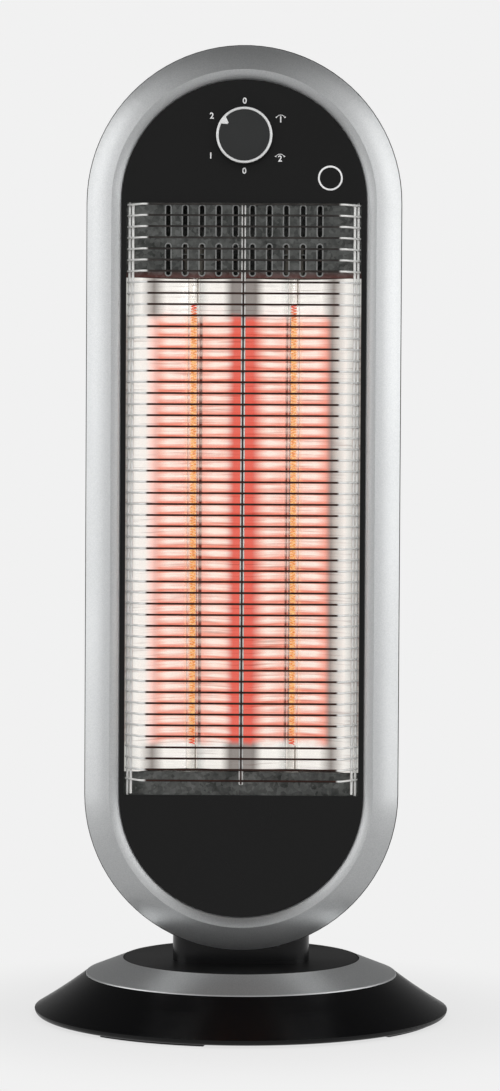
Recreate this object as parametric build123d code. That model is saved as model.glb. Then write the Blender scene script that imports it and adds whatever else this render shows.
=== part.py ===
from build123d import *
import math
import os

# Upright carbon-filament heater. Millimetres. The origin is on the floor under the middle of the round base,
# +Z is up, the heating window faces -Y and +X is to the right of someone who looks at the front.

# Overall sizes. The height, 652.6, is the lift, the head's width and the window's height together
base_diameter = 280.0
head_lift = 48.6  # from the floor to the lowest point of the head
head_width = 210.0
window_height = 394.0  # also the straight stretch of the head's sides

# Clearances and small common sizes
slip_gap = 0.3  # between pieces that move past one another, or that only lie close
fit_gap = 0.05  # radial play of a shaft in its hole
seam_gap = 0.3  # shadow line between two mouldings
screw_play = 0.05  # radial, screw shank in its hole
round_edge = 0.6  # small rounding on moulded edges
least_wall = 0.2  # what a rounding leaves of an edge's thickness
sink = 1.0  # how far a boss, rib or post runs into what it grows from
cut_past = 1.0  # how far a cutter runs past what it cuts

# Base shell
foot_height = 1.5
shell_wall = 2.5
rim_round = 3.7
rim_ledge = 2.3  # flat underside of the rim
rim_hollow_rise = 0.8  # the hollow's outer wall ends this far above the rim's rounding
dome_mid_in = 14.0  # how far in from the rim the dome's middle point lies
dome_mid_z = 14.0
dome_mid_lean = 38.0  # degrees that the dome faces outwards at its middle point
seat_drop = 0.7  # the silver ring stands this much proud of the dome
seat_corner_in = 2.0  # the hollow's corner lies this far inside the ring's edge
deck_room = 3.3  # between the deck and the turntable's disc
deck_wall = 3.0
shell_boss_radius = 4.5
plate_screw_inset = 20.0

# Silver ring in the base
ring_outer_radius = 105.5
ring_outer_z = 29.0
ring_inner_radius = 80.2
ring_thickness = 2.3
ring_edge_round = 1.5

# Turntable and its hub
disc_gap = 0.6
disc_top_z = 39.0
disc_thickness = 3.0
hub_radius = 16.0
hub_bore = 10.0
hub_boss_wall = 4.0
hub_boss_drop = 2.5
glide_width = 6.0
glide_to_stop = 5.0
stop_inset = 7.2  # from the ring's inner edge to the middle of the stops
stop_length = 8.0
lug_width = 10.0
rib_width = 4.0
swing_limit = 35.0  # degrees each way
stop_spare = 0.4  # degrees left between lug and rib at the limit

# Base plate, feet and ballast
plate_thickness = 1.5
foot_width = 14.0
foot_span = 33.0  # degrees
foot_turn = 26.0  # degrees of the first pad from the right
foot_count = 4
ballast_inner = 58.0
ballast_to_boss = 7.5
ballast_thickness = 7.0
ballast_span = 150.0  # degrees, across the front

# Cord inlet at the back
port_half_width = 13.0
port_length = 25.0
port_inset = 2.5  # the block's face lies this far inside the rim
port_top_z = 19.4
port_rise = 0.8  # the hole lies this far above the block's middle
port_round = 3.0
port_hole = 5.0
grommet_bore = 3.8
grommet_flange = 1.6
grommet_flange_thickness = 1.8

# Swing drive
gear_module = 1.5
pinion_teeth = 16
sector_teeth = 48  # if it went all the way round
sector_reach = 12  # degrees of toothing beyond the swing, each way
pressure_angle = 20.0
root_depth = 1.25  # modules from the pitch circle to a tooth's root
gear_backlash = 0.2
gear_thickness = 3.0
motor_radius = 24.5
motor_drop = 2.1  # from the gears down to the motor's top
motor_clear = 1.6  # between the motor and the base plate
motor_floor = 5.0  # what the shaft's pocket leaves of the motor
motor_ear_out = 4.5  # from the motor's side to an ear's screw
motor_ear_thickness = 1.5
motor_ear_radius = 5.0
motor_shaft_radius = 3.5
pinion_hub_radius = 6.0
pinion_hub_gap = 0.8  # between the pinion's hub and the motor
shaft_proud = 0.5

# Tip-over switch
tip_outside = 5.8  # the plunger lies this far outside the ring's inner edge
tip_half_length = 12.0
tip_half_width = 8.0
tip_round = 1.5
tip_clear = 0.85  # under the base's hollow
tip_cap = 1.5  # left over the plunger's bore
tip_guide = 8.0  # length of the upper guide bore
plunger_foot_radius = 8.0
plunger_foot_thickness = 1.2
plunger_stem_radius = 3.0
plunger_collar_radius = 4.6
plunger_collar_thickness = 1.2
plunger_travel = 5.0
spring_wire = 0.7
spring_turns = 4
spring_seat_gap = 0.15

# Cord clamp and terminal block
clamp_gap = 1.2  # between the grommet and the clamp
clamp_half_width = 13.0
clamp_length = 9.0
clamp_screw_in = 4.0
block_x = 55.0
block_behind = 27.0  # behind the motor's shaft
block_half_width = 13.0
block_height = 10.0
block_length = 14.0
block_poles = 3
pole_radius = 2.0
pole_floor = 5.0

# Leads
lead_radius = 2.5
lead_bend = 7.2
lead_joint_rise = 7.0  # above the motor's underside, where the leads of base and head meet
lead_overrun = 6.0  # run that the last bend needs and that is cut off again
riser_radius = 3.0
riser_bend = 6.0
riser_clear = 8.0  # from the thermal cut-out to the riser
riser_low_drop = 10.0  # below the neck's top, where the riser starts to lean back
riser_high_rise = 35.0  # above the neck's top, where it is upright again
riser_switch_run = 24.0  # level run behind the switch

# Neck
neck_width = 92.0
neck_depth = 64.0
neck_corner = 20.0
neck_wall = 3.0
neck_floor = 4.0
neck_in_head = 52.0  # how far it reaches up into the head
neck_slot_rise = 33.0  # how far the slot for it goes up into the cover
neck_screw_in_x = 16.0
neck_screw_in_y = 15.0
neck_boss_spare = 2.0  # what a boss keeps past its screw

# Head depth layout, as places on the Y axis (the front is negative)
cover_front_y = -36.3
cover_back_y = 48.0
bezel_crest_y = -51.7
bezel_side = 1.7  # the bezel's upright side, in front of the cover
fascia_sink = 1.2  # the fascia lies this far behind the lip
fascia_thickness = 2.5
guard_reach = 12.0  # from the fascia to the wires in front of it
tube_behind = 12.3  # from the reflector's flange to the tubes' axes
shield_behind = 22.0  # from the tubes' axes to the shield's back

# Bezel
bezel_inset = 0.6  # the rear cover stands this far outside the bezel
bezel_band = 16.7  # width of the sloped band, seen from the front
bezel_bulge = 1.1  # how convex the band is
lip_shallow = 3.3  # the lip's outer step
lip_fall = 1.5
lip_steep = 2.5  # its inner step, next to the fascia
lip_drop = 3.0
bezel_wall = 2.2
seat_width = 3.7
rail_width = 4.6
spigot_length = 3.6
spigot_wall = 2.0
bezel_boss_radius = 4.0
bezel_boss_back = 5.6  # behind the crest
crest_hollow_out = 0.4  # the hollow behind the crest, outwards of it
crest_hollow_back = 3.1  # and behind it
side_hollow = 0.4  # the hollow at the bezel's side, in front of the side's edge

# Rear cover
cover_wall = 2.2
cover_round = 32.0
cover_boss_radius = 5.5
cover_boss_inset = 13.0
cover_boss_front_y = -31.0
cover_boss_floor = 3.0
cover_well_radius = 3.8
cover_top_angles = (90, 35, 145)  # of the screws round the upper arc
cover_low_angles = (-40, -140)  # and round the lower one
vent_length = 92.0
vent_height = 4.0
vent_pitch = 9.0
vent_rows = 8
upper_vent_drop = 22.0  # from the upper arc's centre down to the first row
lower_vent_rise = 30.0  # from the lower arc's centre up to the first row
grip_width = 80.0
grip_height = 26.0
grip_depth = 22.0
grip_rise = 46.0  # above the upper arc's centre
tie_x = 22.0  # screws between cover and neck
tie_drop = 10.0
tie_boss_length = 8.0
tie_seat = 5.0  # the screw heads' seat, from the cover's back

# Fascia
fascia_gap = 0.5
strip_width = 3.4
stake_radius = 1.1
stake_count = 3  # on each side
stake_gap = 0.2  # between a stake's end and the reflector

# Guard
wire_radius = 0.7
wire_pitch = 7.325
first_wire_drop = 4.0
last_wire_rise = 8.0
guard_lean = 35.5  # degrees that the legs of the wires lean outwards
guard_bend = 5.0
guard_side_gap = 0.95  # from the window's side to the wire ends
side_rod_radius = 0.9
side_rod_spacing = 4.2
centre_rod_radius = 1.5
weld_depth = 0.25
guard_seat_gap = 0.1  # between the fascia's back and the outer rods
rod_tuck = 6.0  # how far the outer rods reach behind the fascia
rod_short = 1.0  # the other rods stop this far inside the window

# Upper and lower plates
sheet = 0.8
plate_side_cover = 1.0  # how far a plate reaches past the window's side
vent_plate_height = 49.5  # of it that shows in the window
lower_plate_height = 15.0
plate_overlap = 6.0  # how far a plate reaches behind the fascia
plate_lean = 3.6
plate_behind = 2.4  # behind the fascia, at the plate's far edge
slot_columns = 10
slot_pitch = 11.2
slot_width = 3.0
slot_length = 20.7
slot_rim = 0.85
slot_rim_height = 0.5
slot_row_gap = 4.9
slot_edge = 1.6

# Reflector
shield_margin = 3.0  # how far the heat shield passes the plates, above and below
ridge_half_width = 6.4  # flat ridge between the troughs
trough_behind = 12.0  # from a tube's axis to the bottom of its trough
trough_depth = 15.2
flank_run = 8.6  # sideways run of the slanted flank outside a trough
flank_shift = 0.4  # sideways part of the sheet's thickness on the flanks
flange_show = 9.0  # of the flange, inside the window's side
flange_clear = 0.5  # from the flange to the rail's outer edge
rail_screw_in = 1.85  # from the rail's outer edge
rail_screw_end = 20.0  # from the plates to the first and last screw
rail_screw_count = 4  # on each side

# Tubes and filaments
tube_radius = 4.0
tube_wall = 0.6
tube_in_cap = 10.0
filament_radius = 2.4
filament_wire = 0.5
filament_turns = 45
filament_end_gap = 18.0  # from the tube's visible end to the first turn
cap_radius = 7.0
cap_length = 24.0
bracket_half_width = 12.0
bracket_height = 14.0
bracket_hole_z = 10.0
bracket_lip = 1.5  # in front of the cap
bracket_screw_rise = 8.4
lead_in_cap = 2.0  # how far a filament lead stops inside the tube's end

# Screws
small_shank = 1.5
small_head = 3.0
small_head_height = 1.8
hole_spare = 0.5  # how much deeper a blind hole is than its screw
plate_screw_head = 1.2  # low, so that it stays above the floor
plate_screw_grip = 7.0  # how far a screw goes into what it holds on to
motor_screw_grip = 5.0
sector_screw_grip = 7.0
neck_screw_grip = 3.0
tie_screw_grip = 5.0
cover_screw_reach = 4.5  # past the bezel's rear edge
rail_screw_grip = 3.5
bracket_screw_grip = 2.0

# Control
knob_rise = 44.0  # above the upper arc's centre
knob_radius = 18.5
knob_depth = 10.7
knob_wall = 3.0
knob_crown = 0.8
crown_sink = 0.2  # the cap's middle lies this far under the ring's top
knob_ring_width = 1.6
knob_ring_height = 2.4
knob_hub_radius = 6.0
pointer_turn = 55.0  # degrees from straight up, towards the left
pointer_length = 4.6
pointer_half_width = 3.2
pointer_tip = 0.6  # half the width of its blunt tip
pointer_thickness = 1.6
ring_bevel = 0.5
press_play = 0.02  # radial, between the knob and what is pressed on or into it
shaft_cover = 2.6  # from the knob's front to the shaft's end
shaft_flat_length = 3.5
shaft_flat_rise = 2.3
shaft_in_switch = 9.5
hub_to_bush = 0.8
switch_half_width = 15.0
switch_depth = 16.0
switch_round = 2.0
switch_bush = 4.75
switch_bush_length = 5.3
switch_nut_flats = 14.0
switch_nut_thickness = 2.5
switch_shaft_radius = 3.0

# Thermal cut-out
cutout_radius = 8.0
cutout_thickness = 6.0
cutout_drop = 40.0
tab_offset = 4.0
tab_half_width = 1.5
tab_half_thickness = 0.4
tab_length = 5.0

# Places worked out from the sizes above
base_radius = base_diameter / 2
head_radius = head_width / 2
arc_bottom_z = head_lift + head_radius
arc_top_z = arc_bottom_z + window_height
window_middle_z = arc_bottom_z + window_height / 2
shell_bottom_z = foot_height
plate_top_z = shell_bottom_z + plate_thickness
plate_radius = base_radius - rim_round - rim_ledge - slip_gap
ring_slope = (disc_top_z - ring_outer_z) / (ring_outer_radius - ring_inner_radius)
disc_radius = ring_inner_radius - disc_gap
disc_bottom_z = disc_top_z - disc_thickness
deck_top_z = disc_bottom_z - deck_room
deck_bottom_z = deck_top_z - deck_wall
well_radius = ring_inner_radius + disc_gap
hub_boss_z = deck_bottom_z - hub_boss_drop
sector_top_z = hub_boss_z - slip_gap
sector_bottom_z = sector_top_z - gear_thickness
centre_distance = gear_module * (pinion_teeth + sector_teeth) / 2
motor_top_z = sector_bottom_z - motor_drop
motor_bottom_z = plate_top_z + motor_clear
motor_ear_span = motor_radius + motor_ear_out
lead_joint_z = motor_bottom_z + lead_joint_rise
stop_radius = ring_inner_radius - stop_inset
glide_radius = stop_radius - stop_length / 2 - glide_to_stop - glide_width / 2
ballast_outer = base_radius - plate_screw_inset - shell_boss_radius - ballast_to_boss
bezel_radius = head_radius - bezel_inset
crest_radius = bezel_radius - bezel_band
lip_mid_radius = crest_radius - lip_shallow
lip_radius = lip_mid_radius - lip_steep
lip_y = bezel_crest_y + lip_fall + lip_drop
bezel_edge_y = cover_front_y - bezel_side
fascia_front_y = lip_y + fascia_sink
fascia_back_y = fascia_front_y + fascia_thickness
seat_back_y = fascia_back_y + bezel_wall
guard_front_y = fascia_front_y - guard_reach
plate_top_y = fascia_back_y + plate_behind
tube_y = seat_back_y + tube_behind
shield_back_y = tube_y + shield_behind
fascia_radius = lip_radius - fascia_gap
seat_inner_radius = lip_radius - seat_width
window_half = fascia_radius - strip_width
rail_radius = seat_inner_radius + seat_width + rail_width
plate_half_width = window_half + plate_side_cover
flange_inner = window_half - flange_show
flange_outer = rail_radius - flange_clear
trough_outer = flange_inner - flank_run
tube_x = (trough_outer + ridge_half_width) / 2
bezel_rear_y = cover_front_y - seam_gap
cover_inner_radius = head_radius - cover_wall
boss_path_radius = head_radius - cover_boss_inset
boss_floor_y = cover_boss_front_y + cover_boss_floor
knob_z = arc_top_z + knob_rise
shelf_top_z = arc_top_z - vent_plate_height
shelf_low_z = arc_bottom_z + lower_plate_height
shelf_front_y = plate_top_y + plate_lean
shield_top_z = arc_top_z + plate_overlap + shield_margin
tip_x = -(ring_inner_radius + tip_outside)
port_z = (shell_bottom_z + port_top_z) / 2 + port_rise
port_back_y = base_radius - port_inset
port_front_y = port_back_y - port_length
clamp_y = port_front_y - grommet_flange_thickness - clamp_gap - clamp_length / 2
block_y = centre_distance + block_behind
neck_back_y = neck_depth / 2
neck_top_z = head_lift + neck_in_head
neck_screw_x = neck_width / 2 - neck_screw_in_x
neck_screw_y = neck_depth / 2 - neck_screw_in_y
tie_z = neck_top_z - tie_drop
shaft_front_y = fascia_front_y - knob_depth + shaft_cover
knob_front_y = fascia_front_y - slip_gap - knob_depth
bush_front_y = fascia_front_y - switch_bush_length + fascia_thickness


def block(x0, x1, y0, y1, z0, z1):
    """A box between the given planes."""
    return Pos((x0 + x1) / 2, (y0 + y1) / 2, (z0 + z1) / 2) * Box(x1 - x0, y1 - y0, z1 - z0)


def post_z(x, y, z0, z1, radius):
    """An upright cylinder."""
    return Pos(x, y, (z0 + z1) / 2) * Cylinder(radius, z1 - z0)


def post_y(x, z, y0, y1, radius):
    """A cylinder that runs from front to back."""
    return Pos(x, (y0 + y1) / 2, z) * Rot(90, 0, 0) * Cylinder(radius, y1 - y0)


def turned(points):
    """A solid of revolution about the upright axis, from (radius, height) points."""
    return revolve(make_face(Polyline([(r, 0, z) for r, z in points], close=True)), Axis.Z, 360)


def stadium(radius, y0, y1):
    """The head's outline, at the given radius, between two planes."""
    outline = Pos(0, window_middle_z) * Rot(0, 0, 90) * SlotCenterToCenter(window_height, 2 * radius)
    return extrude(Plane.XZ.offset(-y1) * outline, y1 - y0)


def round_the_head(section):
    """Carries a section, drawn in (distance from the head's centre line, Y), all round the stadium."""
    top = revolve(Pos(0, 0, arc_top_z) * section, Axis((0, 0, arc_top_z), (0, -1, 0)), 180)
    bottom = revolve(Pos(0, 0, arc_bottom_z) * section, Axis((0, 0, arc_bottom_z), (0, 1, 0)), 180)
    right = extrude(Pos(0, 0, arc_bottom_z) * section, window_height, dir=(0, 0, 1))
    return top + bottom + right + mirror(right, Plane.YZ)


def screw_down(x, y, seat_z, length, up):
    """A pan-head screw along Z. Its head's underside is at seat_z and the shank points up or down."""
    way = 1 if up else -1
    low, high = sorted((seat_z, seat_z + way * length))
    head_low, head_high = sorted((seat_z, seat_z - way * small_head_height))
    return post_z(x, y, low, high, small_shank) + post_z(x, y, head_low, head_high, small_head)


def screw_front(x, z, seat_y, length):
    """A pan-head screw along Y, driven from behind: its shank points to the front."""
    shank = post_y(x, z, seat_y - length, seat_y, small_shank)
    return shank + post_y(x, z, seat_y, seat_y + small_head_height, small_head)


def on_circle(radius, angle):
    """A point on a circle round the upright axis, angle in degrees from +X."""
    return radius * math.cos(math.radians(angle)), radius * math.sin(math.radians(angle))


def sector_ring(inner, outer, z0, z1, middle, span):
    """A stretch of a flat ring, centred on an angle."""
    face = make_face(Polyline((inner, 0, z0), (outer, 0, z0), (outer, 0, z1), (inner, 0, z1), close=True))
    return Rot(0, 0, middle - span / 2) * revolve(face, Axis.Z, span)


# Base

def seat_z(radius):
    """Height of the face that carries the silver ring."""
    return ring_outer_z - ring_thickness + (ring_outer_radius - radius) * ring_slope


def dome_outline():
    """The outside of the base, from its underside up to the ring's step, in the XZ plane."""
    low = base_radius - rim_round
    turn = rim_round * math.sqrt(0.5)
    centre_z = shell_bottom_z + rim_round
    rim = ThreePointArc(
        (low, 0, shell_bottom_z), (low + turn, 0, centre_z - turn), (base_radius, 0, centre_z)
    )
    step = (ring_outer_radius + slip_gap, 0, ring_outer_z - seat_drop)
    dome = ThreePointArc((base_radius, 0, centre_z), (base_radius - dome_mid_in, 0, dome_mid_z), step)
    return [rim, dome], (low, 0, shell_bottom_z), step


def base_body():
    """The base's outer form, solid, with the ring's step and the turntable's well."""
    arcs, start, step = dome_outline()
    rest = Polyline(
        step,
        (step[0], 0, seat_z(step[0])),
        (well_radius, 0, seat_z(well_radius)),
        (well_radius, 0, deck_top_z),
        (0, 0, deck_top_z),
        (0, 0, shell_bottom_z),
        start,
    )
    return revolve(make_face(Curve() + [*arcs, rest]), Axis.Z, 360)


def hollow_roof():
    """The roof of the base's hollow from the rim to the deck, as (radius, height) points."""
    wall_in = base_radius - rim_round - rim_ledge
    under = shell_wall * math.hypot(1, ring_slope)
    lean = math.radians(dome_mid_lean)
    corner = ring_outer_radius - seat_corner_in
    shoulder = well_radius + shell_wall
    return [
        (wall_in, shell_bottom_z + rim_round + rim_hollow_rise),
        (base_radius - dome_mid_in - shell_wall * math.sin(lean), dome_mid_z - shell_wall * math.cos(lean)),
        (corner, seat_z(corner) - under),
        (shoulder, seat_z(shoulder) - under),
        (shoulder, deck_bottom_z),
    ]


def roof_height(radius):
    """Height of the hollow's sloping roof at a radius."""
    points = hollow_roof()[:-1]
    for (outer, low), (inner, high) in zip(points, points[1:]):
        if radius >= inner:
            return low + (outer - radius) / (outer - inner) * (high - low)
    return deck_bottom_z


def base_cavity():
    """The hollow under the base, down to the floor."""
    bore = hub_radius + hub_boss_wall
    roof = hollow_roof()
    ends = [(bore, deck_bottom_z), (bore, hub_boss_z), (0, hub_boss_z)]
    return turned([(0, 0), (roof[0][0], 0), *roof, *ends])


def plate_screw_places():
    """Where the base plate is screwed on: midway between the rubber pads."""
    step = 360 / foot_count
    radius = base_radius - plate_screw_inset
    return [on_circle(radius, (k + 0.5) * step - foot_turn) for k in range(foot_count)]


def base_shell():
    """Domed top of the base, with the deck that the turntable turns in."""
    solid = base_body()
    shell = solid - base_cavity()
    for x, y in plate_screw_places():
        shell += post_z(x, y, plate_top_z, deck_top_z, shell_boss_radius) & solid
        hole_top = plate_top_z + plate_screw_grip + hole_spare
        shell -= post_z(x, y, plate_top_z - cut_past, hole_top, small_shank + screw_play)
    for side in (-1, 1):
        x = side * motor_ear_span
        shell += post_z(x, centre_distance, motor_top_z, deck_bottom_z, shell_boss_radius)
        shell -= post_z(x, centre_distance, motor_top_z - cut_past, deck_bottom_z, small_shank + screw_play)
    rib_angle = swing_limit + stop_spare + math.degrees((lug_width + rib_width) / 2 / stop_radius)
    for side in (-1, 1):
        rib = block(
            -rib_width / 2,
            rib_width / 2,
            stop_radius - stop_length / 2,
            stop_radius + stop_length / 2,
            deck_top_z - sink,
            disc_bottom_z - slip_gap,
        )
        shell += Rot(0, 0, side * rib_angle) * rib
    port = block(
        -port_half_width, port_half_width, port_front_y, port_back_y, plate_top_z + slip_gap, port_top_z
    )
    shell += fillet(port.edges().group_by(Axis.Z)[-1], port_round)
    shell -= post_y(0, port_z, port_front_y - cut_past, port_back_y + cut_past, port_hole + fit_gap)
    flange_room = port_hole + grommet_flange + slip_gap
    inner_end_y = port_front_y - grommet_flange_thickness - slip_gap
    shell -= post_y(0, port_z, inner_end_y, port_front_y, flange_room)
    shell -= post_y(0, port_z, port_back_y, base_radius + cut_past, flange_room)
    return shell - post_z(0, 0, hub_boss_z - cut_past, deck_top_z + cut_past, hub_radius)


def base_ring():
    """Silver ring: a shallow cone with a rounded outer edge."""
    ring = turned(
        [
            (ring_inner_radius, disc_top_z),
            (ring_inner_radius, disc_top_z - ring_thickness),
            (ring_outer_radius, ring_outer_z - ring_thickness),
            (ring_outer_radius, ring_outer_z),
        ]
    )
    edge = ring.edges().filter_by(GeomType.CIRCLE).sort_by(lambda e: (-e.radius, -e.center().Z))[0]
    return fillet(edge, min(ring_edge_round, ring_thickness - least_wall))


def base_plate():
    """Steel plate that closes the base from below."""
    plate = post_z(0, 0, shell_bottom_z, plate_top_z, plate_radius)
    for x, y in plate_screw_places():
        plate -= post_z(x, y, shell_bottom_z - cut_past, plate_top_z + cut_past, small_shank + screw_play)
    stem_hole = plunger_stem_radius + slip_gap
    return plate - post_z(tip_x, 0, shell_bottom_z - cut_past, plate_top_z + cut_past, stem_hole)


def base_feet():
    """Four arc-shaped rubber pads."""
    inner = plate_radius - foot_width
    middles = [k * 360 / foot_count - foot_turn for k in range(foot_count)]
    return [sector_ring(inner, plate_radius, 0, shell_bottom_z, middle, foot_span) for middle in middles]


def plate_screws():
    """Screws that hold the base plate. Their heads stay above the floor."""
    screws = []
    for x, y in plate_screw_places():
        shank = post_z(x, y, shell_bottom_z, plate_top_z + plate_screw_grip, small_shank)
        screws.append(shank + post_z(x, y, shell_bottom_z - plate_screw_head, shell_bottom_z, small_head))
    return screws


def ballast_weight():
    """Steel segment across the front of the base that keeps the heater from tipping."""
    top_z = plate_top_z + ballast_thickness
    return sector_ring(ballast_inner, ballast_outer, plate_top_z, top_z, -90, ballast_span)


def glide_ring():
    """Smooth ring on the deck that the turntable slides over."""
    half = glide_width / 2
    ring = post_z(0, 0, deck_top_z, disc_bottom_z - slip_gap, glide_radius + half)
    return ring - post_z(0, 0, deck_top_z - cut_past, disc_bottom_z, glide_radius - half)


def cord_grommet():
    """Rubber grommet in the cord inlet."""
    flange = port_hole + grommet_flange
    front_y = port_front_y - grommet_flange_thickness
    back_y = port_back_y + grommet_flange_thickness
    body = post_y(0, port_z, front_y, back_y, port_hole)
    body += post_y(0, port_z, front_y, port_front_y, flange)
    body += post_y(0, port_z, port_back_y, back_y, flange)
    return body - post_y(0, port_z, front_y - cut_past, back_y + cut_past, grommet_bore)


def cord_clamp():
    """Saddle on the base plate in line with the inlet."""
    y0 = clamp_y - clamp_length / 2
    y1 = clamp_y + clamp_length / 2
    saddle = block(-clamp_half_width, clamp_half_width, y0, y1, plate_top_z, port_z)
    saddle -= post_y(0, port_z, y0 - cut_past, y1 + cut_past, grommet_bore)
    for side in (-1, 1):
        x = side * (clamp_half_width - clamp_screw_in)
        saddle -= post_z(x, clamp_y, plate_top_z - cut_past, port_z + cut_past, small_shank + screw_play)
    return saddle


def clamp_screws():
    """Two screws of the cord clamp."""
    screws = []
    for side in (-1, 1):
        x = side * (clamp_half_width - clamp_screw_in)
        screws.append(screw_down(x, clamp_y, port_z, port_z - plate_top_z, False))
    return screws


def terminal_block():
    """Block where the mains lead would be joined to the inner leads."""
    x0 = block_x - block_half_width
    y0 = block_y - block_length / 2
    top_z = plate_top_z + block_height
    body = block(x0, x0 + 2 * block_half_width, y0, y0 + block_length, plate_top_z, top_z)
    pole_pitch = 2 * block_half_width / block_poles
    for k in range(block_poles):
        x = x0 + (k + 0.5) * pole_pitch
        body -= post_z(x, block_y, plate_top_z + pole_floor, top_z + cut_past, pole_radius)
    return body


def base_leads():
    """Sheathed leads from the terminal block, past the motor, to the middle of the hub."""
    z = plate_top_z + lead_radius + slip_gap
    path = FilletPolyline(
        (block_x, block_y - block_length / 2, z),
        (block_x, 0, z),
        (0, 0, z),
        (0, 0, lead_joint_z + lead_overrun),
        radius=lead_bend,
    )
    run = sweep(Plane(path @ 0, z_dir=path % 0) * Circle(lead_radius), path)
    return run & block(-base_radius, base_radius, -base_radius, base_radius, 0, lead_joint_z)


# Swing drive

def tooth_half_angle(radius, pitch_radius):
    """Half the angle that one tooth takes at a radius, by the involute, in radians."""
    base_circle = pitch_radius * math.cos(math.radians(pressure_angle))
    at_pitch = (math.pi * gear_module / 2 - gear_backlash) / (2 * pitch_radius)

    def involute(angle):
        return math.tan(angle) - angle

    angle = math.acos(min(1.0, base_circle / radius))
    return at_pitch + involute(math.radians(pressure_angle)) - involute(angle)


def tooth_points(pitch_radius, middle):
    """Outline of one tooth, from root to root, round an angle in degrees."""
    root = pitch_radius - root_depth * gear_module
    tip = pitch_radius + gear_module
    steps = 5
    radii = [root + (tip - root) * k / steps for k in range(steps + 1)]
    right = [(r, -tooth_half_angle(r, pitch_radius)) for r in radii]
    left = [(r, tooth_half_angle(r, pitch_radius)) for r in reversed(radii)]
    turn = math.radians(middle)
    return [(r * math.cos(turn + a), r * math.sin(turn + a)) for r, a in right + left]


def drive_pinion():
    """Small gear on the motor shaft. A tooth space faces the hub."""
    pitch_radius = gear_module * pinion_teeth / 2
    step = 360 / pinion_teeth
    points = []
    for k in range(pinion_teeth):
        points += tooth_points(pitch_radius, -90 + (k + 0.5) * step)
    gear = extrude(make_face(Polyline(points, close=True)), gear_thickness)
    gear = Pos(0, centre_distance, sector_bottom_z) * gear
    gear += post_z(0, centre_distance, motor_top_z + pinion_hub_gap, sector_bottom_z, pinion_hub_radius)
    return gear - post_z(0, centre_distance, motor_top_z, sector_top_z + cut_past, motor_shaft_radius)


def motor_shaft():
    """Output shaft of the swing motor."""
    low_z = motor_bottom_z + motor_floor
    return post_z(0, centre_distance, low_z, sector_top_z + shaft_proud, motor_shaft_radius)


def swing_motor():
    """Flat synchronous gear motor, hung from the deck by two ears."""
    y = centre_distance
    body = post_z(0, y, motor_bottom_z, motor_top_z, motor_radius)
    ear = block(
        -motor_ear_span, motor_ear_span, y - motor_ear_radius, y + motor_ear_radius,
        motor_top_z - motor_ear_thickness, motor_top_z,
    )
    body += ear
    for side in (-1, 1):
        x = side * motor_ear_span
        body += post_z(x, y, motor_top_z - motor_ear_thickness, motor_top_z, motor_ear_radius)
    for side in (-1, 1):
        x = side * motor_ear_span
        body -= post_z(x, y, motor_bottom_z, motor_top_z + cut_past, small_shank + screw_play)
    pocket_z = motor_bottom_z + motor_floor - slip_gap
    return body - post_z(0, y, pocket_z, motor_top_z + cut_past, motor_shaft_radius + fit_gap)


def motor_screws():
    """Screws that hold the motor's ears to the deck."""
    seat = motor_top_z - motor_ear_thickness
    length = motor_ear_thickness + motor_screw_grip
    return [screw_down(side * motor_ear_span, centre_distance, seat, length, True) for side in (-1, 1)]


def sector_screw_places():
    """Three screws in the hub's wall."""
    radius = (hub_radius + hub_bore) / 2
    return [on_circle(radius, -90 + k * 120) for k in range(3)]


def sector_gear():
    """Toothed sector under the hub. Its teeth face the motor, and its plate keeps the turntable down."""
    pitch_radius = gear_module * sector_teeth / 2
    step = 360 / sector_teeth
    reach = int((swing_limit + sector_reach) / step)
    points = [(0.0, 0.0)]
    for k in range(-reach, reach + 1):
        points += tooth_points(pitch_radius, 90 + k * step)
    gear = extrude(make_face(Polyline(points, close=True)), gear_thickness)
    gear = Pos(0, 0, sector_bottom_z) * gear
    gear += post_z(0, 0, sector_bottom_z, sector_top_z, hub_radius + hub_boss_wall)
    low, high = sector_bottom_z - cut_past, sector_top_z + cut_past
    gear -= post_z(0, 0, low, high, hub_bore)
    for x, y in sector_screw_places():
        gear -= post_z(x, y, low, high, small_shank + screw_play)
    return gear


def sector_screws():
    """Screws from below, through the sector into the hub."""
    length = gear_thickness + sector_screw_grip
    return [screw_down(x, y, sector_bottom_z, length, True) for x, y in sector_screw_places()]


def turntable():
    """Black disc that carries the neck, with the hub that turns in the deck and the lug that stops it."""
    disc = post_z(0, 0, disc_bottom_z, disc_top_z, disc_radius)
    disc = fillet(disc.edges().group_by(Axis.Z)[-1], round_edge)
    disc += post_z(0, 0, sector_top_z, disc_bottom_z, hub_radius - fit_gap)
    disc += block(
        -lug_width / 2,
        lug_width / 2,
        stop_radius - stop_length / 2,
        stop_radius + stop_length / 2,
        deck_top_z + slip_gap,
        disc_bottom_z,
    )
    disc -= post_z(0, 0, sector_top_z - cut_past, disc_top_z + cut_past, hub_bore)
    hole_top = sector_top_z + sector_screw_grip + hole_spare
    for x, y in sector_screw_places():
        disc -= post_z(x, y, sector_top_z - cut_past, hole_top, small_shank + screw_play)
    for x, y in neck_screw_places():
        disc -= post_z(x, y, disc_bottom_z - cut_past, disc_top_z + cut_past, small_shank + screw_play)
    return disc


# Tip-over switch

def tip_levels():
    """Top of the housing, end of the plunger's stem in it and roof of the spring's chamber."""
    top = roof_height(math.hypot(tip_x - tip_half_length, tip_half_width)) - tip_clear
    return top, top - tip_cap, top - tip_guide


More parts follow.
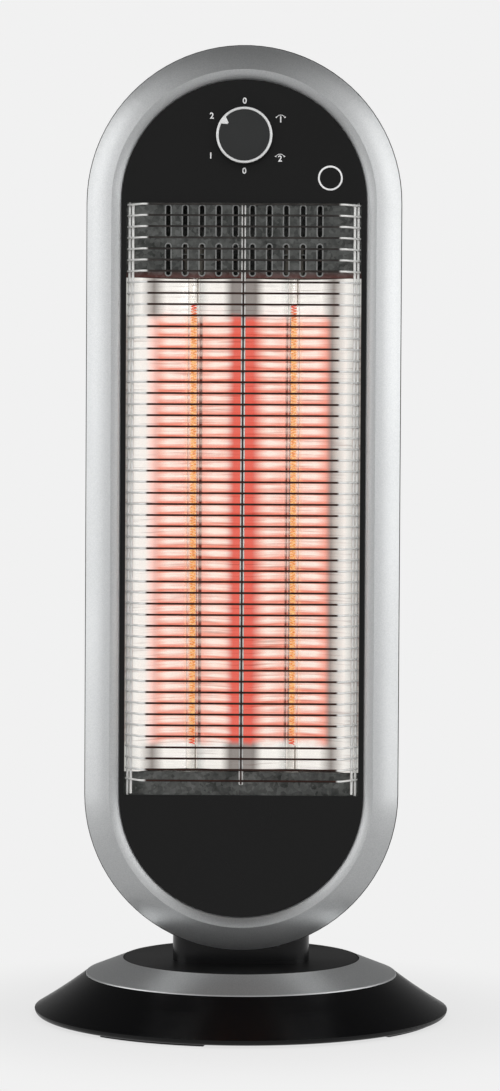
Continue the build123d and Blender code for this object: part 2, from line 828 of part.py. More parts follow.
def tip_switch():
    """Housing on the base plate with a stepped bore for the plunger and its spring."""
    top, stem_z, chamber_z = tip_levels()
    body = block(
        tip_x - tip_half_length, tip_x + tip_half_length, -tip_half_width, tip_half_width, plate_top_z, top
    )
    body = fillet(body.edges().filter_by(Axis.Z), tip_round)
    body -= post_z(tip_x, 0, plate_top_z - cut_past, chamber_z, plunger_collar_radius + slip_gap)
    return body - post_z(tip_x, 0, plate_top_z, stem_z + slip_gap, plunger_stem_radius + fit_gap)


def collar_z():
    """Underside of the plunger's collar when the heater stands."""
    return plate_top_z + plunger_travel + slip_gap


def tip_plunger():
    """Plunger that stands on the floor and drops when the heater is lifted."""
    top, stem_z, chamber_z = tip_levels()
    stem = post_z(tip_x, 0, 0, stem_z, plunger_stem_radius)
    foot = post_z(tip_x, 0, 0, plunger_foot_thickness, plunger_foot_radius)
    collar_top = collar_z() + plunger_collar_thickness
    return stem + foot + post_z(tip_x, 0, collar_z(), collar_top, plunger_collar_radius)


def tip_spring():
    """Coil spring round the plunger's stem, between its collar and the housing."""
    top, stem_z, chamber_z = tip_levels()
    low = collar_z() + plunger_collar_thickness + spring_seat_gap
    high = chamber_z - spring_seat_gap
    coil = plunger_stem_radius + spring_wire / 2 + slip_gap
    height = high - low - spring_wire
    foot = (tip_x, 0, low + spring_wire / 2)
    return coiled("tip spring", coil, spring_wire / 2, height, spring_turns, foot)


def arc_middle(start, corner, end):
    """Middle of the arc that leaves start towards a corner and comes into end from it."""
    half_chord = (end - start).length / 2
    chord_middle = (start + end) * 0.5
    side = (corner - start).length
    cosine = half_chord / side
    radius = side * cosine / math.sqrt(1 - cosine * cosine)
    rise = radius * (1 / cosine - 1)
    return corner + (chord_middle - corner).normalized() * rise


def quarter_turn(radius, pitch, index):
    """One quarter of a helix's turn as two arcs that share a tangent."""

    def place(angle):
        return Vector(radius * math.cos(angle), radius * math.sin(angle), pitch * angle / (2 * math.pi))

    def heading(angle):
        rise = pitch / (2 * math.pi)
        return Vector(-radius * math.sin(angle), radius * math.cos(angle), rise).normalized()

    first = index * math.pi / 2
    last = first + math.pi / 2
    start, end = place(first), place(last)
    leave, arrive = heading(first), heading(last)
    gap = end - start
    both = leave + arrive
    # The two corners lie one tangent length from the ends and two from each other
    a = 4 - both.dot(both)
    b = 2 * gap.dot(both)
    c = -gap.dot(gap)
    reach = (-b + math.sqrt(b * b - 4 * a * c)) / (2 * a)
    corner_one = start + leave * reach
    corner_two = end - arrive * reach
    joint = (corner_one + corner_two) * 0.5
    return [
        ThreePointArc(start, arc_middle(start, corner_one, joint), joint),
        ThreePointArc(joint, arc_middle(joint, corner_two, end), end),
    ]


def print_least_gap(label, path, wire, turns):
    """Prints the least gap between a winding's turns, measured on points along it."""
    per_turn = 24
    count = turns * per_turn
    points = [path @ (k / count) for k in range(count + 1)]
    spans = []
    for i, point in enumerate(points):
        others = points[i + per_turn // 2:i + 2 * per_turn]
        spans += [(point - other).length for other in others]
    print(label, "least gap between turns", round(min(spans) - 2 * wire, 2), "mm")


def coiled(label, radius, wire, height, turns, foot):
    """A wire wound upwards from a point on the winding's axis, one unbroken strand."""
    pitch = height / turns
    path = Wire([arc for index in range(4 * turns) for arc in quarter_turn(radius, pitch, index)])
    print_least_gap(label, path, wire, turns)
    section = Plane(path @ 0, z_dir=path % 0) * Circle(wire)
    return Pos(*foot) * sweep(section, path)


# Neck

def neck_screw_places():
    """Four screws between turntable and neck."""
    return [(i * neck_screw_x, j * neck_screw_y) for i in (-1, 1) for j in (-1, 1)]


def neck_tube(margin, z0, z1):
    """Rounded upright prism of the neck's outline, grown or shrunk by a margin."""
    corner = neck_corner + margin
    outline = RectangleRounded(neck_width + 2 * margin, neck_depth + 2 * margin, corner)
    return Pos(0, 0, z0) * extrude(outline, z1 - z0)


def neck():
    """Black column between the turntable and the head, hollow for the leads."""
    floor_z = disc_top_z + neck_floor
    inside_y = neck_back_y - neck_wall
    tube = neck_tube(0, disc_top_z, neck_top_z)
    tube -= neck_tube(-neck_wall, floor_z, neck_top_z + cut_past)
    for x in (-tie_x, tie_x):
        boss_y = inside_y - tie_boss_length
        tube += post_y(x, tie_z, boss_y, inside_y, cover_boss_radius)
        tube -= post_y(x, tie_z, boss_y - cut_past, neck_back_y + cut_past, small_shank + screw_play)
    for x, y in neck_screw_places():
        hole_top = floor_z + neck_screw_grip + hole_spare
        tube += post_z(x, y, disc_top_z, floor_z + neck_screw_grip + neck_boss_spare, small_head)
        tube -= post_z(x, y, disc_top_z - cut_past, hole_top, small_shank + screw_play)
    return tube - post_z(0, 0, disc_top_z - cut_past, floor_z + cut_past, hub_bore)


def neck_screws():
    """Screws from below through the turntable into the neck's floor."""
    length = disc_thickness + neck_floor + neck_screw_grip
    return [screw_down(x, y, disc_bottom_z, length, True) for x, y in neck_screw_places()]


def tie_screws():
    """Screws through the rear cover into the neck."""
    seat = cover_back_y - tie_seat
    length = seat - neck_back_y + neck_wall + tie_screw_grip
    return [screw_front(x, tie_z, seat, length) for x in (-tie_x, tie_x)]


# Head shells

def cover_screw_places():
    """Screws that join cover and bezel: over the top, at mid height and beside the neck."""
    places = []
    for angle in cover_top_angles:
        x, z = on_circle(boss_path_radius, angle)
        places.append((x, arc_top_z + z))
    for side in (-1, 1):
        places.append((side * boss_path_radius, window_middle_z))
    for angle in cover_low_angles:
        x, z = on_circle(boss_path_radius, angle)
        places.append((x, arc_bottom_z + z))
    return places


def rounded_back(radius, y0, y1, rounding):
    """A stadium block with its back edge rounded over."""
    form = stadium(radius, y0, y1)
    return fillet(form.edges().group_by(Axis.Y)[-1], rounding)


def vent_slots(first_z, way):
    """A group of level slots through the back, as one cutter."""
    outline = SlotOverall(vent_length, vent_height)
    slots = Part()
    for k in range(vent_rows):
        place = Pos(0, first_z + way * k * vent_pitch)
        plane = Plane.XZ.offset(-cover_back_y - cut_past)
        slots += extrude(plane * (place * outline), cover_wall + 2 * cut_past)
    return slots


def grip_block(margin, y1):
    """The grip pocket's space at the back, grown by a margin."""
    z = arc_top_z + grip_rise
    return block(
        -grip_width / 2 - margin,
        grip_width / 2 + margin,
        cover_back_y - grip_depth - margin,
        y1,
        z - grip_height / 2 - margin,
        z + grip_height / 2 + margin,
    )


def neck_room():
    """The slot in the head's shells that the neck comes up through."""
    return neck_tube(seam_gap, 0, head_lift + neck_slot_rise)


def rear_cover():
    """Dark rear housing: a deep tray with vents, a grip pocket and screw wells."""
    hole = small_shank + screw_play
    inner_back_y = cover_back_y - cover_wall
    outer = rounded_back(head_radius, cover_front_y, cover_back_y, cover_round)
    inner = rounded_back(cover_inner_radius, cover_front_y - cut_past, inner_back_y, cover_round - cover_wall)
    shell = outer - inner
    for x, z in cover_screw_places():
        shell += post_y(x, z, cover_boss_front_y, cover_back_y, cover_boss_radius) & outer
    shell += grip_block(cover_wall, cover_back_y) & outer
    for x in (-tie_x, tie_x):
        shell += post_y(x, tie_z, neck_back_y, cover_back_y - sink, cover_boss_radius)
    for x, z in cover_screw_places():
        shell -= post_y(x, z, boss_floor_y, cover_back_y + cut_past, cover_well_radius)
        shell -= post_y(x, z, cover_boss_front_y - cut_past, boss_floor_y + cut_past, hole)
    for x in (-tie_x, tie_x):
        shell -= post_y(x, tie_z, cover_back_y - tie_seat, cover_back_y + cut_past, cover_well_radius)
        shell -= post_y(x, tie_z, neck_back_y - cut_past, cover_back_y, hole)
    shell -= grip_block(0, cover_back_y + cut_past)
    shell -= vent_slots(arc_top_z - upper_vent_drop, -1)
    shell -= vent_slots(arc_bottom_z + lower_vent_rise, 1)
    return shell - neck_room()


def cover_screws():
    """Screws in the wells of the rear cover, driven into the bezel."""
    length = boss_floor_y - bezel_rear_y + cover_screw_reach
    return [screw_front(x, z, boss_floor_y, length) for x, z in cover_screw_places()]


def bezel_section():
    """Section of the bezel: convex sloped band, crest, two-step lip, seat for the fascia, rail and spigot."""
    crest = Vector(crest_radius, bezel_crest_y)
    edge = Vector(bezel_radius, bezel_edge_y)
    outwards = (edge - crest).rotate(Axis.Z, -90).normalized()
    middle = (crest + edge) * 0.5 + outwards * bezel_bulge
    spigot = cover_inner_radius - slip_gap / 2
    rear = bezel_rear_y
    front = ThreePointArc(edge, middle, crest)
    rest = Polyline(
        crest,
        (lip_mid_radius, bezel_crest_y + lip_fall),
        (lip_radius, lip_y),
        (lip_radius, fascia_back_y),
        (seat_inner_radius, fascia_back_y),
        (seat_inner_radius, seat_back_y),
        (rail_radius, seat_back_y),
        (rail_radius, fascia_back_y - bezel_wall),
        (crest_radius + crest_hollow_out, bezel_crest_y + crest_hollow_back),
        (spigot - spigot_wall, bezel_edge_y - side_hollow),
        (spigot - spigot_wall, rear + spigot_length),
        (spigot, rear + spigot_length),
        (spigot, rear),
        (bezel_radius, rear),
        edge,
    )
    return make_face(Curve() + [front, rest])


def reflector_screw_places():
    """Screws along both rails of the bezel that clamp reflector and heat shield."""
    x = rail_radius - rail_screw_in
    low = shelf_low_z + rail_screw_end
    high = shelf_top_z - rail_screw_end
    heights = [low + (high - low) * k / (rail_screw_count - 1) for k in range(rail_screw_count)]
    return [(side * x, z) for side in (-1, 1) for z in heights]


def stake_places():
    """Heat stakes of the fascia, in the seat's straight sides."""
    x = (window_half + fascia_radius) / 2
    heights = [arc_bottom_z + window_height * (k + 0.5) / stake_count for k in range(stake_count)]
    return [(side * x, z) for side in (-1, 1) for z in heights]


def front_bezel():
    """Silver frame round the front of the head."""
    bezel = round_the_head(bezel_section())
    for x, z in cover_screw_places():
        bezel += post_y(x, z, bezel_crest_y + bezel_boss_back, cover_boss_front_y, bezel_boss_radius)
        tip_y = bezel_rear_y - cover_screw_reach - hole_spare
        bezel -= post_y(x, z, tip_y, cover_boss_front_y + cut_past, small_shank + screw_play)
    for x, z in reflector_screw_places():
        tip_y = seat_back_y - rail_screw_grip - hole_spare
        bezel -= post_y(x, z, tip_y, seat_back_y + cut_past, small_shank + screw_play)
    for x, z in stake_places():
        bezel -= post_y(x, z, fascia_back_y - cut_past, seat_back_y + cut_past, stake_radius + screw_play)
    return bezel - neck_room()


def front_fascia():
    """Glossy black panel with the heating window, staked into the bezel's seat."""
    front_y, back_y = fascia_front_y - cut_past, fascia_back_y + cut_past
    panel = stadium(fascia_radius, fascia_front_y, fascia_back_y)
    panel -= block(-window_half, window_half, front_y, back_y, arc_bottom_z, arc_top_z)
    for x, z in stake_places():
        panel += post_y(x, z, fascia_back_y - sink, seat_back_y - stake_gap, stake_radius)
    return panel - post_y(0, knob_z, front_y, back_y, switch_bush + screw_play)


# Guard

def wire_heights():
    """Heights of the level wires, from the top down."""
    room = window_height - first_wire_drop - last_wire_rise
    count = int(room / wire_pitch) + 1
    return [arc_top_z - first_wire_drop - k * wire_pitch for k in range(count)]


def guard_corners():
    """Right half of a wire's route in (X, Y): its end, and the corner where it turns across the front."""
    lean = math.radians(guard_lean)
    end_x = window_half - guard_side_gap
    end_y = fascia_back_y + guard_seat_gap + side_rod_radius - weld_offset() * math.sin(lean)
    return (end_x, end_y), (end_x - (end_y - guard_front_y) * math.tan(lean), guard_front_y)


def weld_offset():
    """Distance between the middles of a wire and the side rod that is welded to it."""
    return wire_radius + side_rod_radius - weld_depth


def rod_places():
    """Centres of the two rods on the right, in (X, Y), behind the slanted leg of the wires."""
    lean = math.radians(guard_lean)
    end, corner = guard_corners()
    outer = (end[0] - weld_offset() * math.cos(lean), end[1] + weld_offset() * math.sin(lean))
    inner = (outer[0] - side_rod_spacing * math.sin(lean), outer[1] - side_rod_spacing * math.cos(lean))
    return outer, inner


def guard_wire():
    """One level wire with both its legs, at height zero."""
    end, corner = guard_corners()
    path = FilletPolyline(
        (-end[0], end[1], 0),
        (-corner[0], corner[1], 0),
        (corner[0], corner[1], 0),
        (end[0], end[1], 0),
        radius=guard_bend,
    )
    return sweep(Plane(path @ 0, z_dir=path % 0) * Circle(wire_radius), path)


def guard_flat():
    """Half the straight stretch of a wire, up to where its bend starts."""
    end, corner = guard_corners()
    return corner[0] - guard_bend * math.tan(math.radians(90 - guard_lean) / 2)


def guard_grille():
    """Front of the welded wire guard: the wires' straight stretches and the thicker rod in the middle."""
    flat = guard_flat()
    wire = Pos(0, guard_front_y, 0) * Rot(0, 90, 0) * Cylinder(wire_radius, 2 * flat)
    rod_y = guard_front_y + wire_radius + centre_rod_radius - weld_depth
    heights = wire_heights()
    rod = post_z(0, rod_y, heights[-1] - rod_short, arc_top_z - rod_short, centre_rod_radius)
    return rod + [Pos(0, 0, z) * wire for z in heights]


def guard_side(side):
    """One side of the guard: the wires' bent legs and the two rods that they are welded to."""
    flat = side * guard_flat()
    far = side * window_half
    x0, x1 = sorted((flat, far))
    leg = guard_wire() & block(x0, x1, guard_front_y - cut_past, seat_back_y, -wire_radius, wire_radius)
    outer, inner = rod_places()
    low, high = arc_bottom_z - rod_tuck, arc_top_z + rod_tuck
    rods = post_z(side * outer[0], outer[1], low, high, side_rod_radius)
    low, high = arc_bottom_z + rod_short, arc_top_z - rod_short
    rods += post_z(side * inner[0], inner[1], low, high, side_rod_radius)
    return rods + [Pos(0, 0, z) * leg for z in wire_heights()]


# Plates, reflector and shield

def plate_tilt(height):
    """Lean of a plate, in degrees, over its height."""
    return math.degrees(math.atan2(plate_lean, height + plate_overlap))


def shelf(z, way, height):
    """A bent sheet: a face that leans back from the fascia, and a level shelf behind the tube ends.

    way is 1 for the upper plate, whose face rises from its shelf, and -1 for the lower one.
    """
    far = z + way * (height + plate_overlap)
    points = [
        (plate_top_y, far),
        (shelf_front_y, z),
        (shelf_back_y(), z),
        (shelf_back_y(), z + way * sheet),
        (shelf_front_y + sheet, z + way * sheet),
        (plate_top_y + sheet, far),
    ]
    face = make_face(Polyline([(-plate_half_width, y, h) for y, h in points], close=True))
    bent = extrude(face, 2 * plate_half_width, dir=(1, 0, 0))
    for side in (-1, 1):
        bent -= post_z(side * tube_x, tube_y, z - cut_past, z + cut_past, tube_radius + slip_gap)
    return bent


def shelf_back_y():
    """Where the shelves meet the heat shield's back."""
    return shield_back_y - sheet


def slot_centre(column, row):
    """A vent slot's centre on the plate's face, from the face's middle."""
    x = (column - (slot_columns - 1) / 2) * slot_pitch
    return x, (0.5 - row) * (slot_length + slot_row_gap)


def vent_plate():
    """Galvanised plate above the tubes with two rows of rimmed slots."""
    plate = shelf(shelf_top_z, 1, vent_plate_height)
    lean = plate_tilt(vent_plate_height)
    middle = (slot_length * 2 + slot_row_gap) / 2 + slot_edge
    share = middle / (vent_plate_height + plate_overlap)
    face = Plane(
        origin=(0, shelf_front_y - plate_lean * share, shelf_top_z + middle),
        x_dir=(1, 0, 0),
        z_dir=(0, -math.cos(math.radians(lean)), -math.sin(math.radians(lean))),
    )
    rims = Sketch()
    holes = Sketch()
    for row in range(2):
        for column in range(slot_columns):
            place = Pos(*slot_centre(column, row)) * Rot(0, 0, 90)
            rims += place * SlotOverall(slot_length + 2 * slot_rim, slot_width + 2 * slot_rim)
            holes += place * SlotOverall(slot_length, slot_width)
    plate += extrude(face.offset(-sheet / 2) * rims, sheet / 2 + slot_rim_height)
    return plate - extrude(face.offset(-sheet - cut_past) * holes, 2 * (sheet + cut_past))


def lower_plate():
    """Plain galvanised plate below the tubes."""
    return shelf(shelf_low_z, -1, lower_plate_height)


def reflector_line():
    """Three places along Y: the reflector's flange, the bottom of a trough and the trough's edges."""
    vertex_y = tube_y + trough_behind
    return seat_back_y, vertex_y, vertex_y - trough_depth


def reflector():
    """Polished sheet with one trough behind each tube and a flange down each side."""
    front, vertex_y, edge_y = reflector_line()

    def half(shift, side):
        aside = shift * flank_shift
        return [
            Polyline(
                (side * flange_outer, front + shift),
                (side * (flange_inner - aside), front + shift),
                (side * (trough_outer - aside), edge_y + shift),
            ),
            ThreePointArc(
                (side * (trough_outer - aside), edge_y + shift),
                (side * tube_x, vertex_y + shift),
                (side * (ridge_half_width + aside), edge_y + shift),
            ),
        ]

    def across(shift):
        half_ridge = ridge_half_width + shift * flank_shift
        ridge = Polyline((-half_ridge, edge_y + shift), (half_ridge, edge_y + shift))
        return half(shift, -1) + [ridge] + half(shift, 1)

    ends = [
        Polyline((side * flange_outer, front), (side * flange_outer, front + sheet)) for side in (-1, 1)
    ]
    face = make_face(Curve() + across(0) + across(sheet) + ends)
    low = shelf_low_z + slip_gap
    high = shelf_top_z - slip_gap
    sheet_form = Pos(0, 0, low) * extrude(face, high - low)
    for x, z in reflector_screw_places():
        sheet_form -= post_y(x, z, front - cut_past, front + sheet + cut_past, small_shank + screw_play)
    return sheet_form


def heat_shield():
    """Galvanised pan behind the reflector, clamped with it to the bezel's rails."""
    front = seat_back_y + sheet
    low = arc_bottom_z - plate_overlap - shield_margin
    high = shield_top_z
    wide = plate_half_width + slip_gap + sheet
    pan = block(-wide, wide, front, shield_back_y, low, high)
    inside = wide - sheet
    back = shield_back_y - sheet
    pan -= block(-inside, inside, front - cut_past, back, low - cut_past, high + cut_past)
    for side in (-1, 1):
        x0, x1 = sorted((side * inside, side * flange_outer))
        pan += block(x0, x1, front, front + sheet, shelf_low_z, shelf_top_z)
    for x, z in reflector_screw_places():
        pan -= post_y(x, z, front - cut_past, front + sheet + cut_past, small_shank + screw_play)
    for x, z in bracket_screw_places():
        pan -= post_y(x, z, back - cut_past, shield_back_y + cut_past, small_shank + screw_play)
    return pan


def reflector_screws():
    """Screws from behind through shield and reflector into the bezel's rails."""
    seat = seat_back_y + 2 * sheet
    return [screw_front(x, z, seat, 2 * sheet + rail_screw_grip) for x, z in reflector_screw_places()]


# Tubes

def tube_ends():
    """Lower and upper end of the glass tubes, inside their caps."""
    return shelf_low_z - tube_in_cap, shelf_top_z + tube_in_cap


def quartz_tube(side):
    """Clear quartz tube."""
    low, high = tube_ends()
    x = side * tube_x
    bore = post_z(x, tube_y, low - cut_past, high + cut_past, tube_radius - tube_wall)
    return post_z(x, tube_y, low, high, tube_radius) - bore


def carbon_filament(side):
    """Wound carbon filament inside a tube, one unbroken strand."""
    low = shelf_low_z + filament_end_gap
    high = shelf_top_z - filament_end_gap
    foot = (side * tube_x, tube_y, low)
    return coiled("filament", filament_radius, filament_wire, high - low, filament_turns, foot)


def filament_leads():
    """Straight wires from the filament's ends into the caps."""
    low, high = tube_ends()
    short = filament_end_gap - filament_wire - slip_gap
    leads = []
    for side in (-1, 1):
        x = side * tube_x + filament_radius
        leads.append(post_z(x, tube_y, low + lead_in_cap, shelf_low_z + short, filament_wire))
        leads.append(post_z(x, tube_y, shelf_top_z - short, high - lead_in_cap, filament_wire))
    return leads


def cap_spans():
    """Height ranges of the end caps: two below, two above."""
    low, high = shelf_low_z - sheet - slip_gap, shelf_top_z + sheet + slip_gap
    return [(low - cap_length, low), (high, high + cap_length)]


def ceramic_caps():
    """Ceramic caps on the tube ends, bored for the glass."""
    caps = []
    for side in (-1, 1):
        for z0, z1 in cap_spans():
            cap = post_z(side * tube_x, tube_y, z0, z1, cap_radius)
            if z1 < window_middle_z:
                bore = (z1 - tube_in_cap, z1 + cut_past)
            else:
                bore = (z0 - cut_past, z0 + tube_in_cap)
            caps.append(cap - post_z(side * tube_x, tube_y, *bore, tube_radius + fit_gap))
    return caps


def bracket_levels():
    """Height of each bracket's level leg, and the way its upright leg points."""
    (low0, low1), (high0, high1) = cap_spans()
    return [(low0 + bracket_hole_z, -1), (high1 - bracket_hole_z, 1)]


def bracket_screw_places():
    """One screw behind each cap bracket."""
    return [(side * tube_x, z + way * bracket_screw_rise) for side in (-1, 1) for z, way in bracket_levels()]


def cap_brackets():
    """Angle brackets that hold the caps to the heat shield."""
    brackets = []
    front = tube_y - cap_radius - bracket_lip
    back = shield_back_y - sheet
    for side in (-1, 1):
        x = side * tube_x
        x0, x1 = x - bracket_half_width, x + bracket_half_width
        for z, way in bracket_levels():
            z0, z1 = sorted((z, z + way * sheet))
            leg = block(x0, x1, front, back, z0, z1)
            leg -= post_z(x, tube_y, z0 - cut_past, z1 + cut_past, cap_radius + screw_play)
            z0, z1 = sorted((z, z + way * bracket_height))
            upright = block(x0, x1, back - sheet, back, z0, z1)
            hole_z = z + way * bracket_screw_rise
            hole_y = back - sheet - cut_past
            upright -= post_y(x, hole_z, hole_y, back + cut_past, small_shank + screw_play)
            brackets.append(leg + upright)
    return brackets


def bracket_screws():
    """Screws from behind the heat shield into the cap brackets."""
    length = 2 * sheet + bracket_screw_grip
    return [screw_front(x, z, shield_back_y, length) for x, z in bracket_screw_places()]


def thermal_cutout():
    """Round cut-out that breaks the circuit when the shield grows too hot."""
    z = shelf_top_z - cutout_drop
    back_y = shield_back_y + cutout_thickness
    body = post_y(0, z, shield_back_y, back_y, cutout_radius)
    z0, z1 = z - tab_half_thickness, z + tab_half_thickness
    for x in (-tab_offset, tab_offset):
        body += block(x - tab_half_width, x + tab_half_width, back_y - sink, back_y + tab_length, z0, z1)
    return body


# Control

def rotary_switch():
    """Six-position switch behind the fascia, with a threaded bush through it."""
    body = block(
        -switch_half_width,
        switch_half_width,
        fascia_back_y,
        fascia_back_y + switch_depth,
        knob_z - switch_half_width,
        knob_z + switch_half_width,
    )
    body = fillet(body.edges().filter_by(Axis.Y), switch_round)
    body += post_y(0, knob_z, bush_front_y, fascia_back_y + sink, switch_bush)
    pocket_y = fascia_back_y + shaft_in_switch + hole_spare
    return body - post_y(0, knob_z, bush_front_y - cut_past, pocket_y, switch_shaft_radius + fit_gap)


def switch_nut():
    """Hexagonal nut that holds the switch to the fascia."""
    outline = RegularPolygon(switch_nut_flats / 2, 6, major_radius=False)
    nut = extrude(Plane.XZ.offset(-fascia_front_y) * (Pos(0, knob_z) * outline), switch_nut_thickness)
    front_y = fascia_front_y - switch_nut_thickness - cut_past
    return nut - post_y(0, knob_z, front_y, fascia_front_y + cut_past, switch_bush + screw_play)


def switch_shaft():
    """Shaft of the rotary switch, with the flat that drives the knob."""
    shaft = post_y(0, knob_z, shaft_front_y, fascia_back_y + shaft_in_switch, switch_shaft_radius)
    wide = switch_shaft_radius + cut_past
    flat_z = knob_z + shaft_flat_rise
    front_y, back_y = shaft_front_y - cut_past, shaft_front_y + shaft_flat_length
    return shaft - block(-wide, wide, front_y, back_y, flat_z, knob_z + wide)


def knob_profile():
    """Half section of the knob in (radius, Y), from the axis out."""
    back = fascia_front_y - slip_gap
    top = knob_front_y + crown_sink
    groove = knob_radius - knob_ring_width
    step = knob_front_y + knob_ring_height
    hollow = knob_radius - knob_wall
    hub_y = bush_front_y - hub_to_bush
    roof_y = shaft_front_y - fit_gap
    bore = switch_shaft_radius + press_play
    crown = ThreePointArc((0, top), (groove / 2, top + knob_crown / 4), (groove, top + knob_crown))
    rest = Polyline(
        (groove, top + knob_crown),
        (groove, step),
        (knob_radius, step),
        (knob_radius, back),
        (hollow, back),
        (hollow, roof_y),
        (knob_hub_radius, roof_y),
        (knob_hub_radius, hub_y),
        (bore, hub_y),
        (bore, roof_y),
        (0, roof_y),
        (0, top),
    )
    return make_face(Curve() + [crown, rest])


def spun_on_y(face):
    """Turns a (radius, Y) section about the knob's axis."""
    return Pos(0, 0, knob_z) * revolve(face, Axis.Y, 360)


def pointer(margin):
    """Triangular pointer that stands on the ring, its blunt tip inwards, grown by a margin."""
    base = knob_radius - knob_ring_width / 2
    tip = base - pointer_length - margin
    half = pointer_half_width + margin
    blunt = pointer_tip + margin
    outline = make_face(Polyline((-half, base), (half, base), (blunt, tip), (-blunt, tip), close=True))
    thickness = pointer_thickness + margin
    form = extrude(Plane.XZ.offset(-knob_front_y - thickness) * outline, thickness)
    return Pos(0, 0, knob_z) * Rot(0, -pointer_turn, 0) * form


def knob():
    """Black control knob, hollow behind, with a low crown."""
    return spun_on_y(knob_profile()) - pointer(fit_gap)


def knob_ring():
    """Bright ring on the knob's edge, with the pointer in one piece."""
    front = knob_front_y
    back = front + knob_ring_height
    inner = knob_radius - knob_ring_width + press_play
    section = make_face(
        Polyline(
            (inner, back),
            (inner, front + ring_bevel),
            (inner + ring_bevel, front),
            (knob_radius - ring_bevel, front),
            (knob_radius, front + ring_bevel),
            (knob_radius, back),
            close=True,
        )
    )
    return spun_on_y(section) + pointer(0)


def head_leads():
    """Sheathed leads from the hub up behind the heat shield to the switch."""
    back_y = shield_back_y + cutout_thickness + riser_clear + riser_radius
    switch_back_y = fascia_back_y + switch_depth
    path = FilletPolyline(
        (0, 0, lead_joint_z + slip_gap),
        (0, 0, neck_top_z - riser_low_drop),
        (0, back_y, neck_top_z + riser_high_rise),
        (0, back_y, shield_top_z + riser_radius),
        (0, switch_back_y + riser_switch_run, knob_z),
        (0, switch_back_y, knob_z),
        radius=riser_bend,
    )
    return sweep(Plane(path @ 0, z_dir=path % 0) * Circle(riser_radius), path)


def save(name, shape):
    """Writes one node. A list becomes one file of separate solids."""
    pieces = shape if isinstance(shape, list) else [shape]
    solids = [solid for piece in pieces for solid in piece.solids()]
    whole = Compound(children=solids) if len(solids) > 1 else solids[0]
    export_step(whole, os.path.join("parts", name + ".step"))


def main():
    os.makedirs("parts", exist_ok=True)
    nodes = {
        "base_shell": base_shell(),
        "base_ring": base_ring(),
        "base_plate": base_plate(),
        "base_feet": base_feet(),
        "plate_screws": plate_screws(),
        "ballast_weight": ballast_weight(),
        "glide_ring": glide_ring(),
        "cord_grommet": cord_grommet(),
        "cord_clamp": cord_clamp(),
        "clamp_screws": clamp_screws(),
        "terminal_block": terminal_block(),
        "base_leads": base_leads(),
        "swing_motor": swing_motor(),
        "motor_screws": motor_screws(),
        "motor_shaft": motor_shaft(),
        "drive_pinion": drive_pinion(),
        "sector_gear": sector_gear(),
        "sector_screws": sector_screws(),
        "turntable": turntable(),
        "tip_switch": tip_switch(),
        "tip_plunger": tip_plunger(),
        "tip_spring": tip_spring(),
        "neck": neck(),
        "neck_screws": neck_screws(),
        "tie_screws": tie_screws(),
        "rear_cover": rear_cover(),
        "cover_screws": cover_screws(),
        "front_bezel": front_bezel(),
        "front_fascia": front_fascia(),
        "guard_grille": guard_grille(),
        "guard_side_left": guard_side(-1),
        "guard_side_right": guard_side(1),
        "vent_plate": vent_plate(),
        "lower_plate": lower_plate(),
        "reflector": reflector(),
        "heat_shield": heat_shield(),
        "reflector_screws": reflector_screws(),
        "quartz_tube_left": quartz_tube(-1),
        "quartz_tube_right": quartz_tube(1),
        "carbon_filament_left": carbon_filament(-1),
        "carbon_filament_right": carbon_filament(1),
        "filament_leads": filament_leads(),
        "ceramic_caps": ceramic_caps(),
        "cap_brackets": cap_brackets(),
        "bracket_screws": bracket_screws(),
        "thermal_cutout": thermal_cutout(),
        "rotary_switch": rotary_switch(),
        "switch_nut": switch_nut(),
        "switch_shaft": switch_shaft(),
        "knob": knob(),
        "knob_ring": knob_ring(),
        "head_leads": head_leads(),
    }
    for name, shape in nodes.items():
        save(name, shape)


main()
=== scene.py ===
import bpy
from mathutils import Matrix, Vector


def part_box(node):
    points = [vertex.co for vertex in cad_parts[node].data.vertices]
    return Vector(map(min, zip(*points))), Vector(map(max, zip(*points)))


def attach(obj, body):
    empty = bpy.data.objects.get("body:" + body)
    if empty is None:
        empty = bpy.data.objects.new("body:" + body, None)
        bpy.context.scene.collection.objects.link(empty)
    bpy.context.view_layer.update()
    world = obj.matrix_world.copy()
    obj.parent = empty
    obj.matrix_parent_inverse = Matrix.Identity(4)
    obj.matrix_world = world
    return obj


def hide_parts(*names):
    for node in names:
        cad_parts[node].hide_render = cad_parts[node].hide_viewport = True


bl_info = {
    "name": "Carbon heater",
    "version": (1, 0, 0),
    "blender": (4, 5, 0),
    "location": "View3D > Sidebar > Heater",
    "description": "Finishes and fine pieces of an upright carbon heater",
    "category": "Object",
}

import math
import bmesh
import bpy
from bpy.props import FloatProperty, FloatVectorProperty, IntProperty, PointerProperty
from mathutils import Vector

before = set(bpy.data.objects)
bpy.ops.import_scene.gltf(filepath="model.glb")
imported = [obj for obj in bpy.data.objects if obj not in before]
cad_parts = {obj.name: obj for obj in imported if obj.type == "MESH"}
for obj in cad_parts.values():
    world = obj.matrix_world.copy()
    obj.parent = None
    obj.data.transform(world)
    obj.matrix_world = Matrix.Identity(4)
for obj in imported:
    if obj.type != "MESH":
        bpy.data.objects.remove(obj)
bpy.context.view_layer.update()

# Places that the frame gives, in metres
grille_low, grille_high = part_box("guard_grille")
side_low, side_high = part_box("guard_side_right")
knob_low, knob_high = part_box("knob")
tube_low, tube_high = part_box("quartz_tube_right")
coil_low, coil_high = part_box("carbon_filament_right")
mirror_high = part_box("reflector")[1]
vent_low, vent_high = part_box("vent_plate")

fascia_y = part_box("front_fascia")[0].y
knob_x = (knob_low.x + knob_high.x) / 2
knob_z = (knob_low.z + knob_high.z) / 2
tube_x = (tube_low.x + tube_high.x) / 2
tube_y = (tube_low.y + tube_high.y) / 2

MM = 0.001
SMOOTH_ANGLE = math.radians(40)

